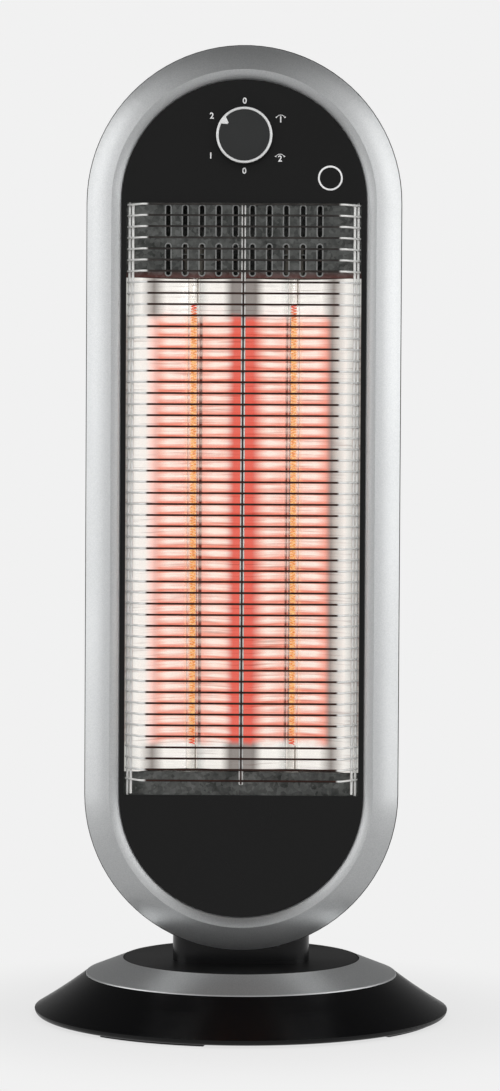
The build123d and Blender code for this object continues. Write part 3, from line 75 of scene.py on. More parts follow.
# The leaning vent plate's face, behind the fascia's front at the plate's foot and head
VENT_FOOT_Y = 8.5 * MM
VENT_HEAD_Y = 4.9 * MM


# Properties

def length(name, description, default):
    """A length in metres."""
    return FloatProperty(name=name, description=description, default=default, unit="LENGTH")


def share(name, description, default):
    """A factor between nothing and one."""
    return FloatProperty(name=name, description=description, default=default, subtype="FACTOR")


def power(name, description, default):
    """A lamp's power in watts."""
    return FloatProperty(name=name, description=description, default=default, unit="POWER")


def vector(name, description, default, subtype="COLOR"):
    """A colour, a place or a turn."""
    return FloatVectorProperty(name=name, description=description, size=3, subtype=subtype, default=default)


class StageSettings(bpy.types.PropertyGroup):
    """Camera, lamps, floor and backdrop."""

    camera_place: vector(
        "Camera place", "Where the camera stands", (0.04, -2.5, 0.4043), subtype="TRANSLATION",
    )
    camera_turn: vector(
        "Camera turn", "Which way the camera looks", (math.pi / 2 - 0.0342, -0.0055, 0.0144), subtype="EULER",
    )
    lens: FloatProperty(
        name="Lens", description="Focal length in millimetres, on a 36 mm sensor", default=121.92,
    )
    pale: vector("Backdrop colour", "Colour of floor and backdrop", (0.88, 0.88, 0.88))
    shadow: share("Floor shadow", "How much of its real shading the floor keeps", 0.22)
    floor_ahead: share("Floor ahead", "Brightness of the floor's mirror image before the heater", 0.4)
    floor_behind: share("Floor behind", "Brightness of the floor's mirror image behind the heater", 0.6)
    left_power: power("Left lamp power", "Power of the softbox on the left", 4.9)
    right_power: power("Right lamp power", "Power of the softbox on the right", 5.5)
    fill_power: power("Fill lamp power", "Power of the large soft lamp above the camera", 26.0)


class GuardSizes(bpy.types.PropertyGroup):
    """Sizes of the welded wire guard."""

    wire_count: IntProperty(name="Wires", description="Number of level wires", default=53)
    wire_diameter: length("Wire", "Diameter of the level wires", 0.0014)
    rod_diameter: length("Side rod", "Diameter of the four side rods", 0.0018)
    centre_diameter: length("Centre rod", "Diameter of the rod in the middle", 0.003)
    bend: length("Bend", "Radius where a wire turns back", 0.005)
    lean: FloatProperty(
        name="Lean", description="How far the legs of the wires lean outwards",
        default=math.radians(35.5), subtype="ANGLE",
    )
    low_wire: length("Lowest wire", "From the guard's lower end to the lowest wire's middle", 0.0028)
    rod_inset: length("Outer rod inset", "From the guard's side to the outer rods' middle", 0.00167)
    rod_spacing: length("Rod spacing", "Between the two rods of a side, along the legs", 0.0042)
    inner_rod_cut: length("Inner rod cut", "How much shorter the inner rods are at each end", 0.007)
    weld: length("Weld", "How deep the middle rod sinks into the wires", 0.00025)


class GlowSettings(bpy.types.PropertyGroup):
    """The filaments and what they light."""

    coil_turns: IntProperty(name="Turns", description="Turns of each filament", default=160)
    coil_radius: length("Coil radius", "From a filament's axis to its wire", 0.0017)
    coil_wire: length("Filament wire", "Radius of the wound wire", 0.00036)
    coil_colour: vector("Filament colour", "Colour of the glowing carbon", (0.80, 0.24, 0.05))
    coil_hottest: vector("Hottest colour", "Colour of the carbon's hottest spots", (1.0, 0.56, 0.2))
    coil_cool_end: length("Cool end", "Length over which a filament's end cools to red", 0.012)
    mirror_glow: share("Reflector glow", "Strength of the glow that the reflector throws back", 0.78)


class DialSizes(bpy.types.PropertyGroup):
    """Printed marks on the fascia."""

    numeral_height: length("Numerals", "Text size of the numerals", 0.0056)
    numeral_weight: length("Numeral weight", "How much bolder the numerals are drawn", 0.00012)
    print_thickness: length("Print", "How far the print stands proud", 0.00006)
    mark_diameter: length("Ring mark", "Outer diameter of the ring mark", 0.0164)
    mark_width: length("Ring mark's line", "Width of the ring mark's line", 0.00115)
    arrow_radius: length("Arrow", "Radius of the turn arrows", 0.0034)
    arrow_width: length("Arrow's line", "Width of the turn arrows' line", 0.00035)
    arrow_rise: length("Arrow's rise", "Height of the arc that a turn arrow shows", 0.0015)
    arrow_head: length("Arrowhead", "Radius of the arrowheads", 0.00075)


# Selecting and shaping

def deselect():
    """Leave edit mode and select nothing."""
    if bpy.context.object and bpy.context.object.mode != "OBJECT":
        bpy.ops.object.mode_set(mode="OBJECT")
    bpy.ops.object.select_all(action="DESELECT")


def only(piece):
    """Select that piece alone and make it the active one."""
    deselect()
    piece.select_set(True)
    bpy.context.view_layer.objects.active = piece


def named(piece_name):
    """Name the primitive that was just added, and its mesh."""
    piece = bpy.context.object
    piece.name = piece_name
    piece.data.name = piece_name
    return piece


def select_edges(test):
    """In edit mode, select only the edges whose middle passes the test."""
    bpy.ops.mesh.select_mode(type="EDGE")
    bpy.ops.mesh.select_all(action="DESELECT")
    form = bmesh.from_edit_mesh(bpy.context.object.data)
    for edge in form.edges:
        middle = (edge.verts[0].co + edge.verts[1].co) / 2
        if test(middle):
            edge.select_set(True)
    bmesh.update_edit_mesh(bpy.context.object.data)


def edit_all():
    """Edit the active piece, with all of it selected."""
    bpy.ops.object.mode_set(mode="EDIT")
    bpy.ops.mesh.select_all(action="SELECT")


def stop_editing():
    """Back to object mode."""
    bpy.ops.object.mode_set(mode="OBJECT")


def apply_place(piece):
    """Put the piece's place into its mesh."""
    only(piece)
    bpy.ops.object.transform_apply(location=True, rotation=True, scale=True)


def apply_modifiers(piece):
    """Apply every modifier of the piece, in order."""
    only(piece)
    for modifier in list(piece.modifiers):
        bpy.ops.object.modifier_apply(modifier=modifier.name)


def outward(piece, merge=0.01 * MM):
    """Merge doubles and turn all faces outwards."""
    only(piece)
    edit_all()
    bpy.ops.mesh.remove_doubles(threshold=merge)
    bpy.ops.mesh.normals_make_consistent(inside=False)
    stop_editing()


def joined(pieces, piece_name):
    """Join the pieces into the first of them."""
    deselect()
    for piece in pieces:
        piece.select_set(True)
    bpy.context.view_layer.objects.active = pieces[0]
    bpy.ops.object.join()
    return named(piece_name)


def dressed(piece, material, body):
    """Give a new piece its material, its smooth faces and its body."""
    only(piece)
    bpy.ops.object.shade_smooth_by_angle(angle=SMOOTH_ANGLE)
    piece.data.materials.clear()
    piece.data.materials.append(material)
    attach(piece, body)


# Node helpers

def new_material(material_name):
    """A material with only a Principled BSDF and an output: (material, tree, shader)."""
    material = bpy.data.materials.new(material_name)
    material.use_nodes = True
    tree = material.node_tree
    return material, tree, tree.nodes["Principled BSDF"]


def add(tree, kind, **settings):
    """Add a node and set its properties."""
    node = tree.nodes.new(kind)
    for key, value in settings.items():
        setattr(node, key, value)
    return node


def link(source, target):
    """Link two sockets."""
    target.id_data.links.new(source, target)


def feed(value, socket):
    """Link the value to a socket, or set it there when it is a plain number or colour."""
    if isinstance(value, bpy.types.NodeSocket):
        link(value, socket)
    elif isinstance(value, (int, float)):
        socket.default_value = value
    elif socket.type == "RGBA":
        socket.default_value = (*value, 1.0)
    else:
        socket.default_value = value


def fill_in(node, values):
    """Link or set a node's inputs by their names."""
    for name, value in values.items():
        feed(value, node.inputs[name])


def math_node(tree, operation, *values, clamp=False):
    """A math node fed by sockets or plain numbers; gives its output."""
    node = add(tree, "ShaderNodeMath", operation=operation, use_clamp=clamp)
    for socket, value in zip(node.inputs, values):
        feed(value, socket)
    return node.outputs[0]


def times(tree, first, second):
    """Product of two sockets or plain numbers."""
    return math_node(tree, "MULTIPLY", first, second)


def map_range(tree, value, low, high, new_low=0.0, new_high=1.0, smooth=False):
    """Value moved from one range to another and held inside it."""
    node = add(tree, "ShaderNodeMapRange")
    if smooth:
        node.interpolation_type = "SMOOTHSTEP"
    fill_in(node, {
        "Value": value, "From Min": low, "From Max": high, "To Min": new_low, "To Max": new_high,
    })
    return node.outputs["Result"]


def mix_colour(tree, factor, first, second):
    """Two colours, sockets or plain, mixed by a factor."""
    node = add(tree, "ShaderNodeMix", data_type="RGBA")
    for number, value in ((0, factor), (6, first), (7, second)):
        feed(value, node.inputs[number])
    return node.outputs[2]


def ramp(tree, value, stops):
    """Colour ramp through (position, colour) stops."""
    node = add(tree, "ShaderNodeValToRGB")
    link(value, node.inputs[0])
    elements = node.color_ramp.elements
    while len(elements) < len(stops):
        elements.new(1.0)
    for element, (place, colour) in zip(elements, stops):
        element.position = place
        element.color = (*colour, 1.0)
    return node.outputs[0]


def noise(tree, place, scale, detail=2.0, roughness=0.5):
    """Noise texture's value."""
    node = add(tree, "ShaderNodeTexNoise")
    fill_in(node, {"Vector": place, "Scale": scale, "Detail": detail, "Roughness": roughness})
    return node.outputs[0]


def cell_tones(tree, place, scale):
    """Two random values for each cell of a Voronoi texture."""
    cells = add(tree, "ShaderNodeTexVoronoi")
    fill_in(cells, {"Vector": place, "Scale": scale})
    parts = add(tree, "ShaderNodeSeparateColor")
    link(cells.outputs["Color"], parts.inputs[0])
    return parts.outputs[0], parts.outputs[1]


def stretched(tree, place, stretch):
    """Place scaled by a different amount along each axis."""
    node = add(tree, "ShaderNodeMapping")
    fill_in(node, {"Vector": place, "Scale": stretch})
    return node.outputs[0]


def grey(value):
    """A grey of that value."""
    return (value, value, value)


def fade(tree, value, start, end):
    """One up to the start, falling smoothly to nothing at the end."""
    return map_range(tree, value, start, end, 1.0, 0.0, smooth=True)


def seen_plainly(tree, path):
    """Mask of the rays that come from the camera or pass through glass."""
    return math_node(tree, "MAXIMUM", path["Is Camera Ray"], path["Is Transmission Ray"])


def object_place(tree):
    """Object coordinates."""
    return add(tree, "ShaderNodeTexCoord").outputs["Object"]


def axes(tree, place):
    """The place's three parts."""
    node = add(tree, "ShaderNodeSeparateXYZ")
    link(place, node.inputs[0])
    return node.outputs["X"], node.outputs["Y"], node.outputs["Z"]


def bump(tree, shader, height, depth, strength=1.0):
    """Feed a height through a Bump node into the shader's normal."""
    node = add(tree, "ShaderNodeBump")
    fill_in(node, {"Distance": depth, "Strength": strength, "Height": height})
    link(node.outputs[0], shader.inputs["Normal"])


def new_group(group_name, inputs, outputs):
    """An empty shader group with a Vector and those values: (group, its inputs, its outputs)."""
    group = bpy.data.node_groups.new(group_name, "ShaderNodeTree")
    group.interface.new_socket(name="Vector", in_out="INPUT", socket_type="NodeSocketVector")
    for socket, default in inputs.items():
        item = group.interface.new_socket(name=socket, in_out="INPUT", socket_type="NodeSocketFloat")
        item.default_value = default
    for socket in outputs:
        group.interface.new_socket(name=socket, in_out="OUTPUT", socket_type="NodeSocketFloat")
    return group, add(group, "NodeGroupInput").outputs, add(group, "NodeGroupOutput").inputs


def place_group(tree, group, place, **values):
    """Put a group into a material, feed its Vector and set its other inputs."""
    node = add(tree, "ShaderNodeGroup")
    node.node_tree = group
    fill_in(node, {"Vector": place, **values})
    return node.outputs


# Shared effects

def grain_group():
    """Fine moulded or sprayed grain, as a height, and a soft patchiness, as a mask."""
    group, given, result = new_group("moulded_grain", {"Grain": 900.0, "Patch": 14.0}, ("Height", "Patch"))
    fine = noise(group, given["Vector"], given["Grain"], detail=3.0)
    link(fine, result["Height"])
    soft = noise(group, given["Vector"], given["Patch"])
    link(map_range(group, soft, 0.3, 0.7, smooth=True), result["Patch"])
    return group


def flake_group():
    """Metal flakes in paint: a small random lightness and height for each flake."""
    group, given, result = new_group("metal_flake", {"Scale": 2600.0}, ("Flake", "Height"))
    lightness, height = cell_tones(group, given["Vector"], given["Scale"])
    link(lightness, result["Flake"])
    link(height, result["Height"])
    return group


def spangle_group():
    """Zinc crystals of galvanised sheet with dull patches over them."""
    group, given, result = new_group("zinc_spangle", {"Crystal": 420.0, "Patch": 60.0}, ("Tone", "Height"))
    warp = noise(group, given["Vector"], 300.0).node.outputs["Color"]
    shift = add(group, "ShaderNodeVectorMath", operation="MULTIPLY_ADD")
    link(warp, shift.inputs[0])
    shift.inputs[1].default_value = (0.002, 0.002, 0.002)
    link(given["Vector"], shift.inputs[2])
    lightness, height = cell_tones(group, shift.outputs[0], given["Crystal"])
    patch = noise(group, given["Vector"], given["Patch"], detail=6.0, roughness=0.65)
    crystal = times(group, lightness, 0.45)
    dull = times(group, map_range(group, patch, 0.32, 0.68), 0.55)
    link(math_node(group, "ADD", crystal, dull), result["Tone"])
    link(height, result["Height"])
    return group


def streak_group():
    """Level streaks, as a mask: wide along X, thin along Z."""
    group, given, result = new_group("level_streaks", {"Low": 0.45, "High": 0.6}, ("Streak",))
    wide = stretched(group, given["Vector"], (18.0, 6.0, 620.0))
    tone = noise(group, wide, 1.0, detail=3.0, roughness=0.6)
    link(map_range(group, tone, given["Low"], given["High"]), result["Streak"])
    return group


groups = {}


def shared(maker):
    """A shared effect, made the first time that it is asked for."""
    if maker not in groups:
        groups[maker] = maker()
    return groups[maker]


# Materials

PATCH_SHARE = 0.12  # how much rougher or smoother a moulded piece's patches are


def moulded(
    material_name, colour, roughness, grain=900.0, depth=0.00002, patch=14.0, lift=1.15, shine=0.5,
):
    """Plastic or rubber: grain as bump, and patches that change its roughness and colour a little."""
    material, tree, shader = new_material(material_name)
    grained = place_group(tree, shared(grain_group), object_place(tree), Grain=grain, Patch=patch)
    lifted = tuple(channel * lift for channel in colour)
    smoother, rougher = roughness * (1 - PATCH_SHARE), roughness * (1 + PATCH_SHARE)
    fill_in(shader, {
        "Base Color": mix_colour(tree, grained["Patch"], colour, lifted),
        "Roughness": map_range(tree, grained["Patch"], 0.0, 1.0, smoother, rougher),
        "Specular IOR Level": shine,
    })
    bump(tree, shader, grained["Height"], depth)
    return material


def metal(material_name, colour, roughness, grain=700.0):
    """Plain metal with a fine drawn or ground surface."""
    material, tree, shader = new_material(material_name)
    grained = place_group(tree, shared(grain_group), object_place(tree), Grain=grain, Patch=40.0)
    darker = tuple(channel * 0.8 for channel in colour)
    fill_in(shader, {
        "Base Color": mix_colour(tree, grained["Patch"], darker, colour),
        "Roughness": map_range(tree, grained["Patch"], 0.0, 1.0, roughness, roughness * 1.4),
        "Metallic": 1.0,
    })
    bump(tree, shader, grained["Height"], 0.00001)
    return material


def silver_paint():
    """Satin silver lacquer with fine flakes."""
    material, tree, shader = new_material("silver_paint")
    place = object_place(tree)
    flake = place_group(tree, shared(flake_group), place, Scale=2600.0)
    grain = place_group(tree, shared(grain_group), place, Grain=1400.0, Patch=9.0)
    fill_in(shader, {
        "Base Color": mix_colour(tree, flake["Flake"], (0.66, 0.675, 0.68), (0.78, 0.79, 0.795)),
        "Roughness": map_range(tree, grain["Patch"], 0.0, 1.0, 0.36, 0.42),
        "Metallic": 0.82, "Coat Weight": 0.15, "Coat Roughness": 0.2,
    })
    bump(tree, shader, flake["Height"], 0.000012)
    return material


def bright_trim():
    """Bright silver of the knob's ring, nearly white under a soft light."""
    material, tree, shader = new_material("bright_trim")
    flake = place_group(tree, shared(flake_group), object_place(tree), Scale=3200.0)
    base = mix_colour(tree, flake["Flake"], (0.72, 0.73, 0.73), grey(0.86))
    fill_in(shader, {"Base Color": base, "Metallic": 0.25, "Roughness": 0.3})
    bump(tree, shader, flake["Height"], 0.000008)
    return material


def guard_wire():
    """Bright plated wire, with painted shade on the wires' flat front: reddish brown where they pass in front
    of the filaments, dark grey above them.
    """
    material, tree, shader = new_material("guard_wire")
    place = object_place(tree)
    sideways, depth, upright = axes(tree, place)
    grain = place_group(tree, shared(grain_group), place, Grain=2600.0, Patch=180.0)
    patch = grain["Patch"]
    aside = math_node(tree, "ABSOLUTE", sideways)
    # Painted shade on the wires' flat front between the legs; the legs keep the wire's bright colour
    across = fade(tree, aside, side_low.x - 1.5 * MM, side_low.x + 0.8 * MM)
    front = map_range(tree, depth, grille_low.y + 1.2 * MM, grille_low.y + 1.5 * MM, 1.0, 0.0)
    painted_front_shade = times(tree, across, front)
    bright = mix_colour(tree, patch, (0.84, 0.84, 0.82), (0.92, 0.92, 0.90))
    # Painted shade colours: reddish brown where the glowing filaments lie behind the wires, dark grey above
    # them
    glow_tinted_shade = mix_colour(tree, patch, (0.030, 0.012, 0.009), (0.048, 0.019, 0.013))
    dull = mix_colour(tree, patch, (0.032, 0.029, 0.027), (0.055, 0.05, 0.046))
    glow_behind = fade(tree, upright, coil_high.z, coil_high.z + 30 * MM)
    dark = mix_colour(tree, glow_behind, dull, glow_tinted_shade)
    fill_in(shader, {
        "Base Color": mix_colour(tree, painted_front_shade, bright, dark),
        "Metallic": map_range(tree, painted_front_shade, 0.0, 1.0, 0.2, 0.35),
        "Roughness": map_range(tree, painted_front_shade, 0.0, 1.0, 0.25, 0.5),
    })
    bump(tree, shader, grain["Height"], 0.000004)
    return material


def galvanised_sheet(material_name, heat=0.0):
    """Dark, mottled galvanised steel; with painted glow, the vent plate's foot is painted red as if lit by
    the filaments, and its raised rims get a painted highlight.
    """
    material, tree, shader = new_material(material_name)
    place = object_place(tree)
    spangle = place_group(tree, shared(spangle_group), place, Crystal=420.0, Patch=60.0)
    tone = mix_colour(tree, spangle["Tone"], (0.06, 0.064, 0.06), (0.30, 0.31, 0.30))
    if heat:
        _, depth, upright = axes(tree, place)
        # Painted red glow of the filaments along the plate's foot
        near = map_range(tree, upright, vent_low.z, vent_low.z + 6 * MM, heat, 0.0, smooth=True)
        tone = mix_colour(tree, near, tone, (0.30, 0.06, 0.045))
        # Painted highlight on the rims that stand proud of the plate's leaning face
        foot_y, head_y = fascia_y + VENT_FOOT_Y, fascia_y + VENT_HEAD_Y
        face = map_range(tree, upright, vent_low.z, vent_high.z, foot_y, head_y)
        proud = math_node(tree, "SUBTRACT", face, depth)
        rim_highlight = map_range(tree, proud, 0.15 * MM, 0.3 * MM)
        tone = mix_colour(tree, rim_highlight, tone, (0.50, 0.51, 0.50))
    rough = map_range(tree, spangle["Tone"], 0.0, 1.0, 0.55, 0.32)
    fill_in(shader, {"Base Color": tone, "Roughness": rough, "Metallic": 0.85})
    bump(tree, shader, spangle["Height"], 0.00004)
    return material


# The reflector's painted glow, painted reflections and painted shade, as linear values
WHITE_REFLECTION = (1.0, 0.97, 0.92)
BLUSH = (1.0, 0.72, 0.66)
SALMON = (0.90, 0.31, 0.23)
CORAL = (0.86, 0.13, 0.09)
PALE_ORANGE = (0.95, 0.50, 0.28)
DULL_GREY = (0.32, 0.29, 0.27)
PAINTED_DARK_BROWN = (0.14, 0.03, 0.02)
STEEL_GREY = (0.62, 0.62, 0.59)
PALE_GLOW = (1.0, 0.88, 0.80)

BLACK = grey(0.0)

# The sheet's base colour carries the painted glow too, darkened
MIRROR_DARKENING = 0.65  # how much darker the sheet is than what it throws back

# Height that the painted mirror images of the guard's wires spread from, and by how much
MIRROR_MIDDLE_Z = 0.404
MIRROR_STRETCH = 1.0155

# Bands across the reflector, at millimetres from the middle: painted glow and reflections where the filaments
# light it, painted reflections above and below them, and how much of the pale painted streaks shows
# The dark brown lines beside the tubes are painted crease shade
LIT_BANDS = (
    (-78, DULL_GREY), (-75, STEEL_GREY), (-71, WHITE_REFLECTION), (-65, WHITE_REFLECTION), (-61, BLUSH), (-56, SALMON),
    (-40, SALMON), (-36, PALE_ORANGE), (-31, PALE_ORANGE), (-29.8, PAINTED_DARK_BROWN), (-28.2, PAINTED_DARK_BROWN),
    (-27.4, SALMON), (-12, SALMON), (-7, CORAL), (7, CORAL), (13, SALMON), (27.8, SALMON),
    (28.6, PAINTED_DARK_BROWN), (30.2, PAINTED_DARK_BROWN), (31.4, PALE_ORANGE), (36, PALE_ORANGE), (40, SALMON),
    (55, SALMON), (59, DULL_GREY), (63, STEEL_GREY), (68, WHITE_REFLECTION), (73, STEEL_GREY), (78, DULL_GREY),
)
PLAIN_HALF = (
    (8, DULL_GREY), (14, WHITE_REFLECTION), (24, WHITE_REFLECTION), (30, STEEL_GREY), (38, WHITE_REFLECTION),
    (52, WHITE_REFLECTION), (60, DULL_GREY), (68, WHITE_REFLECTION), (77, STEEL_GREY), (80, DULL_GREY),
)
PLAIN_BANDS = tuple((-x, colour) for x, colour in reversed(PLAIN_HALF)) + PLAIN_HALF
SHINE_BANDS = (
    (-60, 0.1), (-50, 1.0), (-41, 0.7), (-34, 0.1), (-27, 0.45), (-19, 1.0), (-11, 0.7), (-6, 0.05),
    (6, 0.05), (11, 0.4), (17, 1.0), (27, 0.45), (34, 0.1), (40, 0.8), (48, 1.0), (57, 0.1),
)


def across_mirror(tree, sideways, stops):
    """Colour ramp across the reflector, with its stops in millimetres from the middle."""
    half = mirror_high.x / MM
    value = map_range(tree, sideways, -mirror_high.x, mirror_high.x)
    return ramp(tree, value, [((x + half) / (2 * half), colour) for x, colour in stops])


def wires_height(sizes):
    """From the lowest wire's middle to the top one's."""
    return grille_high.z - sizes.wire_diameter / 2 - grille_low.z - sizes.low_wire


def wire_images(tree, upright):
    """Mask between the wires' painted mirror images, which stand a little further apart than the wires."""
    sizes = bpy.context.scene.heater_guard
    pitch = wires_height(sizes) / (sizes.wire_count - 1)
    above = math_node(tree, "SUBTRACT", upright, MIRROR_MIDDLE_Z)
    turns = math_node(tree, "DIVIDE", above, pitch * MIRROR_STRETCH)
    from_top = math_node(tree, "SUBTRACT", turns, (grille_high.z - MIRROR_MIDDLE_Z) / pitch)
    phase = times(tree, from_top, 2 * math.pi)
    return map_range(tree, math_node(tree, "COSINE", phase), 1.0, -0.7, -0.3, 0.75)


def filament_stretch(tree, place, upright):
    """Mask of the heights where the filaments' glow is painted on, with slightly wavy ends."""
    wander = noise(tree, stretched(tree, place, (60.0, 60.0, 20.0)), 1.0)
    shifted = math_node(tree, "ADD", upright, times(tree, wander, 6 * MM))
    foot = map_range(tree, shifted, coil_low.z + 1 * MM, coil_low.z + 6 * MM, smooth=True)
    head = fade(tree, shifted, coil_high.z - 8 * MM, coil_high.z - 2 * MM)
    return times(tree, foot, head)


def reflector_sheet():
    """Polished aluminium with a painted glow of both filaments and painted reflections in upright bands,
    partly as emission.
    """
    material, tree, shader = new_material("glowing_reflector")
    place = object_place(tree)
    sideways, _, upright = axes(tree, place)
    lit = across_mirror(tree, sideways, LIT_BANDS)
    plain = across_mirror(tree, sideways, PLAIN_BANDS)
    shine = across_mirror(tree, sideways, [(x, grey(shown)) for x, shown in SHINE_BANDS])
    between = wire_images(tree, upright)
    # Pale painted streaks of reflection, mostly between the wires' painted mirror images
    streak = place_group(tree, shared(streak_group), place, Low=0.38, High=0.62)["Streak"]
    pale = math_node(tree, "MULTIPLY_ADD", streak, 0.6, between)
    whitening = math_node(tree, "MULTIPLY", pale, shine, clamp=True)
    glow = mix_colour(tree, whitening, lit, PALE_GLOW)
    colour = mix_colour(tree, filament_stretch(tree, place, upright), plain, glow)
    # Thin dark painted streaks of reflection across the sheet
    thin = place_group(tree, shared(streak_group), place, Low=0.30, High=0.42)["Streak"]
    colour = mix_colour(tree, map_range(tree, thin, 0.0, 1.0, 0.35, 0.0), colour, PAINTED_DARK_BROWN)
    # The painted glow stays out of other pieces' reflections, but is seen through the quartz
    path = add(tree, "ShaderNodeLightPath").outputs
    mirrored = math_node(tree, "SUBTRACT", path["Is Glossy Ray"], path["Is Transmission Ray"], clamp=True)
    fill_in(shader, {
        "Base Color": mix_colour(tree, MIRROR_DARKENING, colour, BLACK),
        "Emission Color": mix_colour(tree, mirrored, colour, BLACK),
        "Emission Strength": bpy.context.scene.heater_glow.mirror_glow,
        "Metallic": 0.9, "Roughness": 0.25,
    })
    bump(tree, shader, streak, 0.0002, 0.4)
    return material


def clear_quartz():
    """Clear quartz with faint drawn lines along the tube."""
    material, tree, shader = new_material("clear_quartz")
    lines = noise(tree, stretched(tree, object_place(tree), (900.0, 900.0, 6.0)), 1.0)
    rough = map_range(tree, lines, 0.0, 1.0, 0.0, 0.03)
    fill_in(shader, {
        "Base Color": (1.0, 0.985, 0.97), "Transmission Weight": 1.0, "IOR": 1.46, "Roughness": rough,
    })
    bump(tree, shader, lines, 0.00001)
    return material


def glowing_carbon():
    """Carbon filament at its working heat, cooler and redder at both ends."""
    settings = bpy.context.scene.heater_glow
    material, tree, shader = new_material("glowing_carbon")
    place = object_place(tree)
    upright = axes(tree, place)[2]
    flicker = noise(tree, stretched(tree, place, (700.0, 700.0, 500.0)), 1.0)
    hotter = map_range(tree, flicker, 0.42, 0.6)
    colour = mix_colour(tree, hotter, settings.coil_colour, settings.coil_hottest)
    foot = map_range(tree, upright, coil_low.z, coil_low.z + settings.coil_cool_end)
    head = map_range(tree, upright, coil_high.z - settings.coil_cool_end, coil_high.z, 1.0, 0.0)
    colour = mix_colour(tree, times(tree, foot, head), (0.75, 0.03, 0.02), colour)
    fill_in(shader, {
        "Base Color": (0.02, 0.01, 0.01), "Roughness": 0.8,
        "Emission Color": colour, "Emission Strength": 1.0,
    })
    return material


# Plain finishes: colour, roughness and what differs from the usual surface
MOULDED = {
    "gloss_black": ((0.003, 0.003, 0.0033), 0.22, dict(depth=0.000004, patch=9.0, shine=0.4)),
    "disc_black": ((0.003, 0.003, 0.0033), 0.4, dict(depth=0.00001, patch=9.0, shine=0.35)),
    "fascia_black": (grey(0.004), 0.3, dict(depth=0.000004, patch=7.0, shine=0.4)),
    "knob_black": ((0.017, 0.018, 0.018), 0.38, dict(depth=0.00001, patch=30.0)),
    "cover_dark": ((0.018, 0.018, 0.019), 0.5, dict(grain=1200.0, depth=0.00006)),
    "black_rubber": (grey(0.012), 0.75, dict(grain=1500.0, depth=0.00008)),
    "cast_iron": ((0.06, 0.06, 0.062), 0.7, dict(grain=350.0, depth=0.0003, lift=1.4)),
    "white_plastic": ((0.72, 0.71, 0.68), 0.4, {}),
    "switch_brown": ((0.10, 0.045, 0.025), 0.45, dict(lift=1.3)),
    "lead_sheath": ((0.70, 0.68, 0.62), 0.6, dict(grain=2500.0, depth=0.00004)),
    "ceramic": ((0.16, 0.15, 0.13), 0.6, dict(grain=1600.0, depth=0.00006, patch=60.0)),
    "printed_white": (grey(0.78), 0.5, dict(grain=3000.0, patch=300.0)),
}
METALS = {
    "plate_steel": ((0.52, 0.52, 0.51), 0.38, {}),
    "zinc_screw": ((0.62, 0.62, 0.60), 0.3, dict(grain=2200.0)),
    "lead_wire": ((0.60, 0.56, 0.50), 0.35, dict(grain=3000.0)),
}
SPECIAL = {
    "silver_paint": silver_paint,
    "bright_trim": bright_trim,
    "galvanised": lambda: galvanised_sheet("galvanised_sheet"),
    # The vent plate's sheet, with a painted red glow at its foot and painted highlights on its rims
    "galvanised_hot": lambda: galvanised_sheet("galvanised_hot", heat=0.5),
    "guard_wire": guard_wire,
    "reflector": reflector_sheet,
    "quartz": clear_quartz,
    "carbon": glowing_carbon,
}
materials = {}


def finish(finish_name):
    """A material, made the first time that it is asked for."""
    if finish_name not in materials:
        if finish_name in SPECIAL:
            materials[finish_name] = SPECIAL[finish_name]()
        else:
            kind, table = (moulded, MOULDED) if finish_name in MOULDED else (metal, METALS)
            colour, roughness, surface = table[finish_name]
            materials[finish_name] = kind(finish_name, colour, roughness, **surface)
    return materials[finish_name]


SHARP_ANGLE = math.radians(30)
WELD_REACH = 0.002 * MM


def coat(finish_name, *nodes):
    """Give kept pieces of the frame a material and even shading."""
    for node in nodes:
        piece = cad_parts[node]
        piece.data.materials.clear()
        piece.data.materials.append(finish(finish_name))
        only(piece)
        bpy.ops.mesh.customdata_custom_splitnormals_clear()
        bpy.ops.object.shade_smooth()
        weld = piece.modifiers.new("weld", "WELD")
        weld.merge_threshold = WELD_REACH
        split = piece.modifiers.new("sharp_edges", "EDGE_SPLIT")
        split.split_angle = SHARP_ANGLE
        even = piece.modifiers.new("even_faces", "WEIGHTED_NORMAL")
        even.keep_sharp = True


# Operators

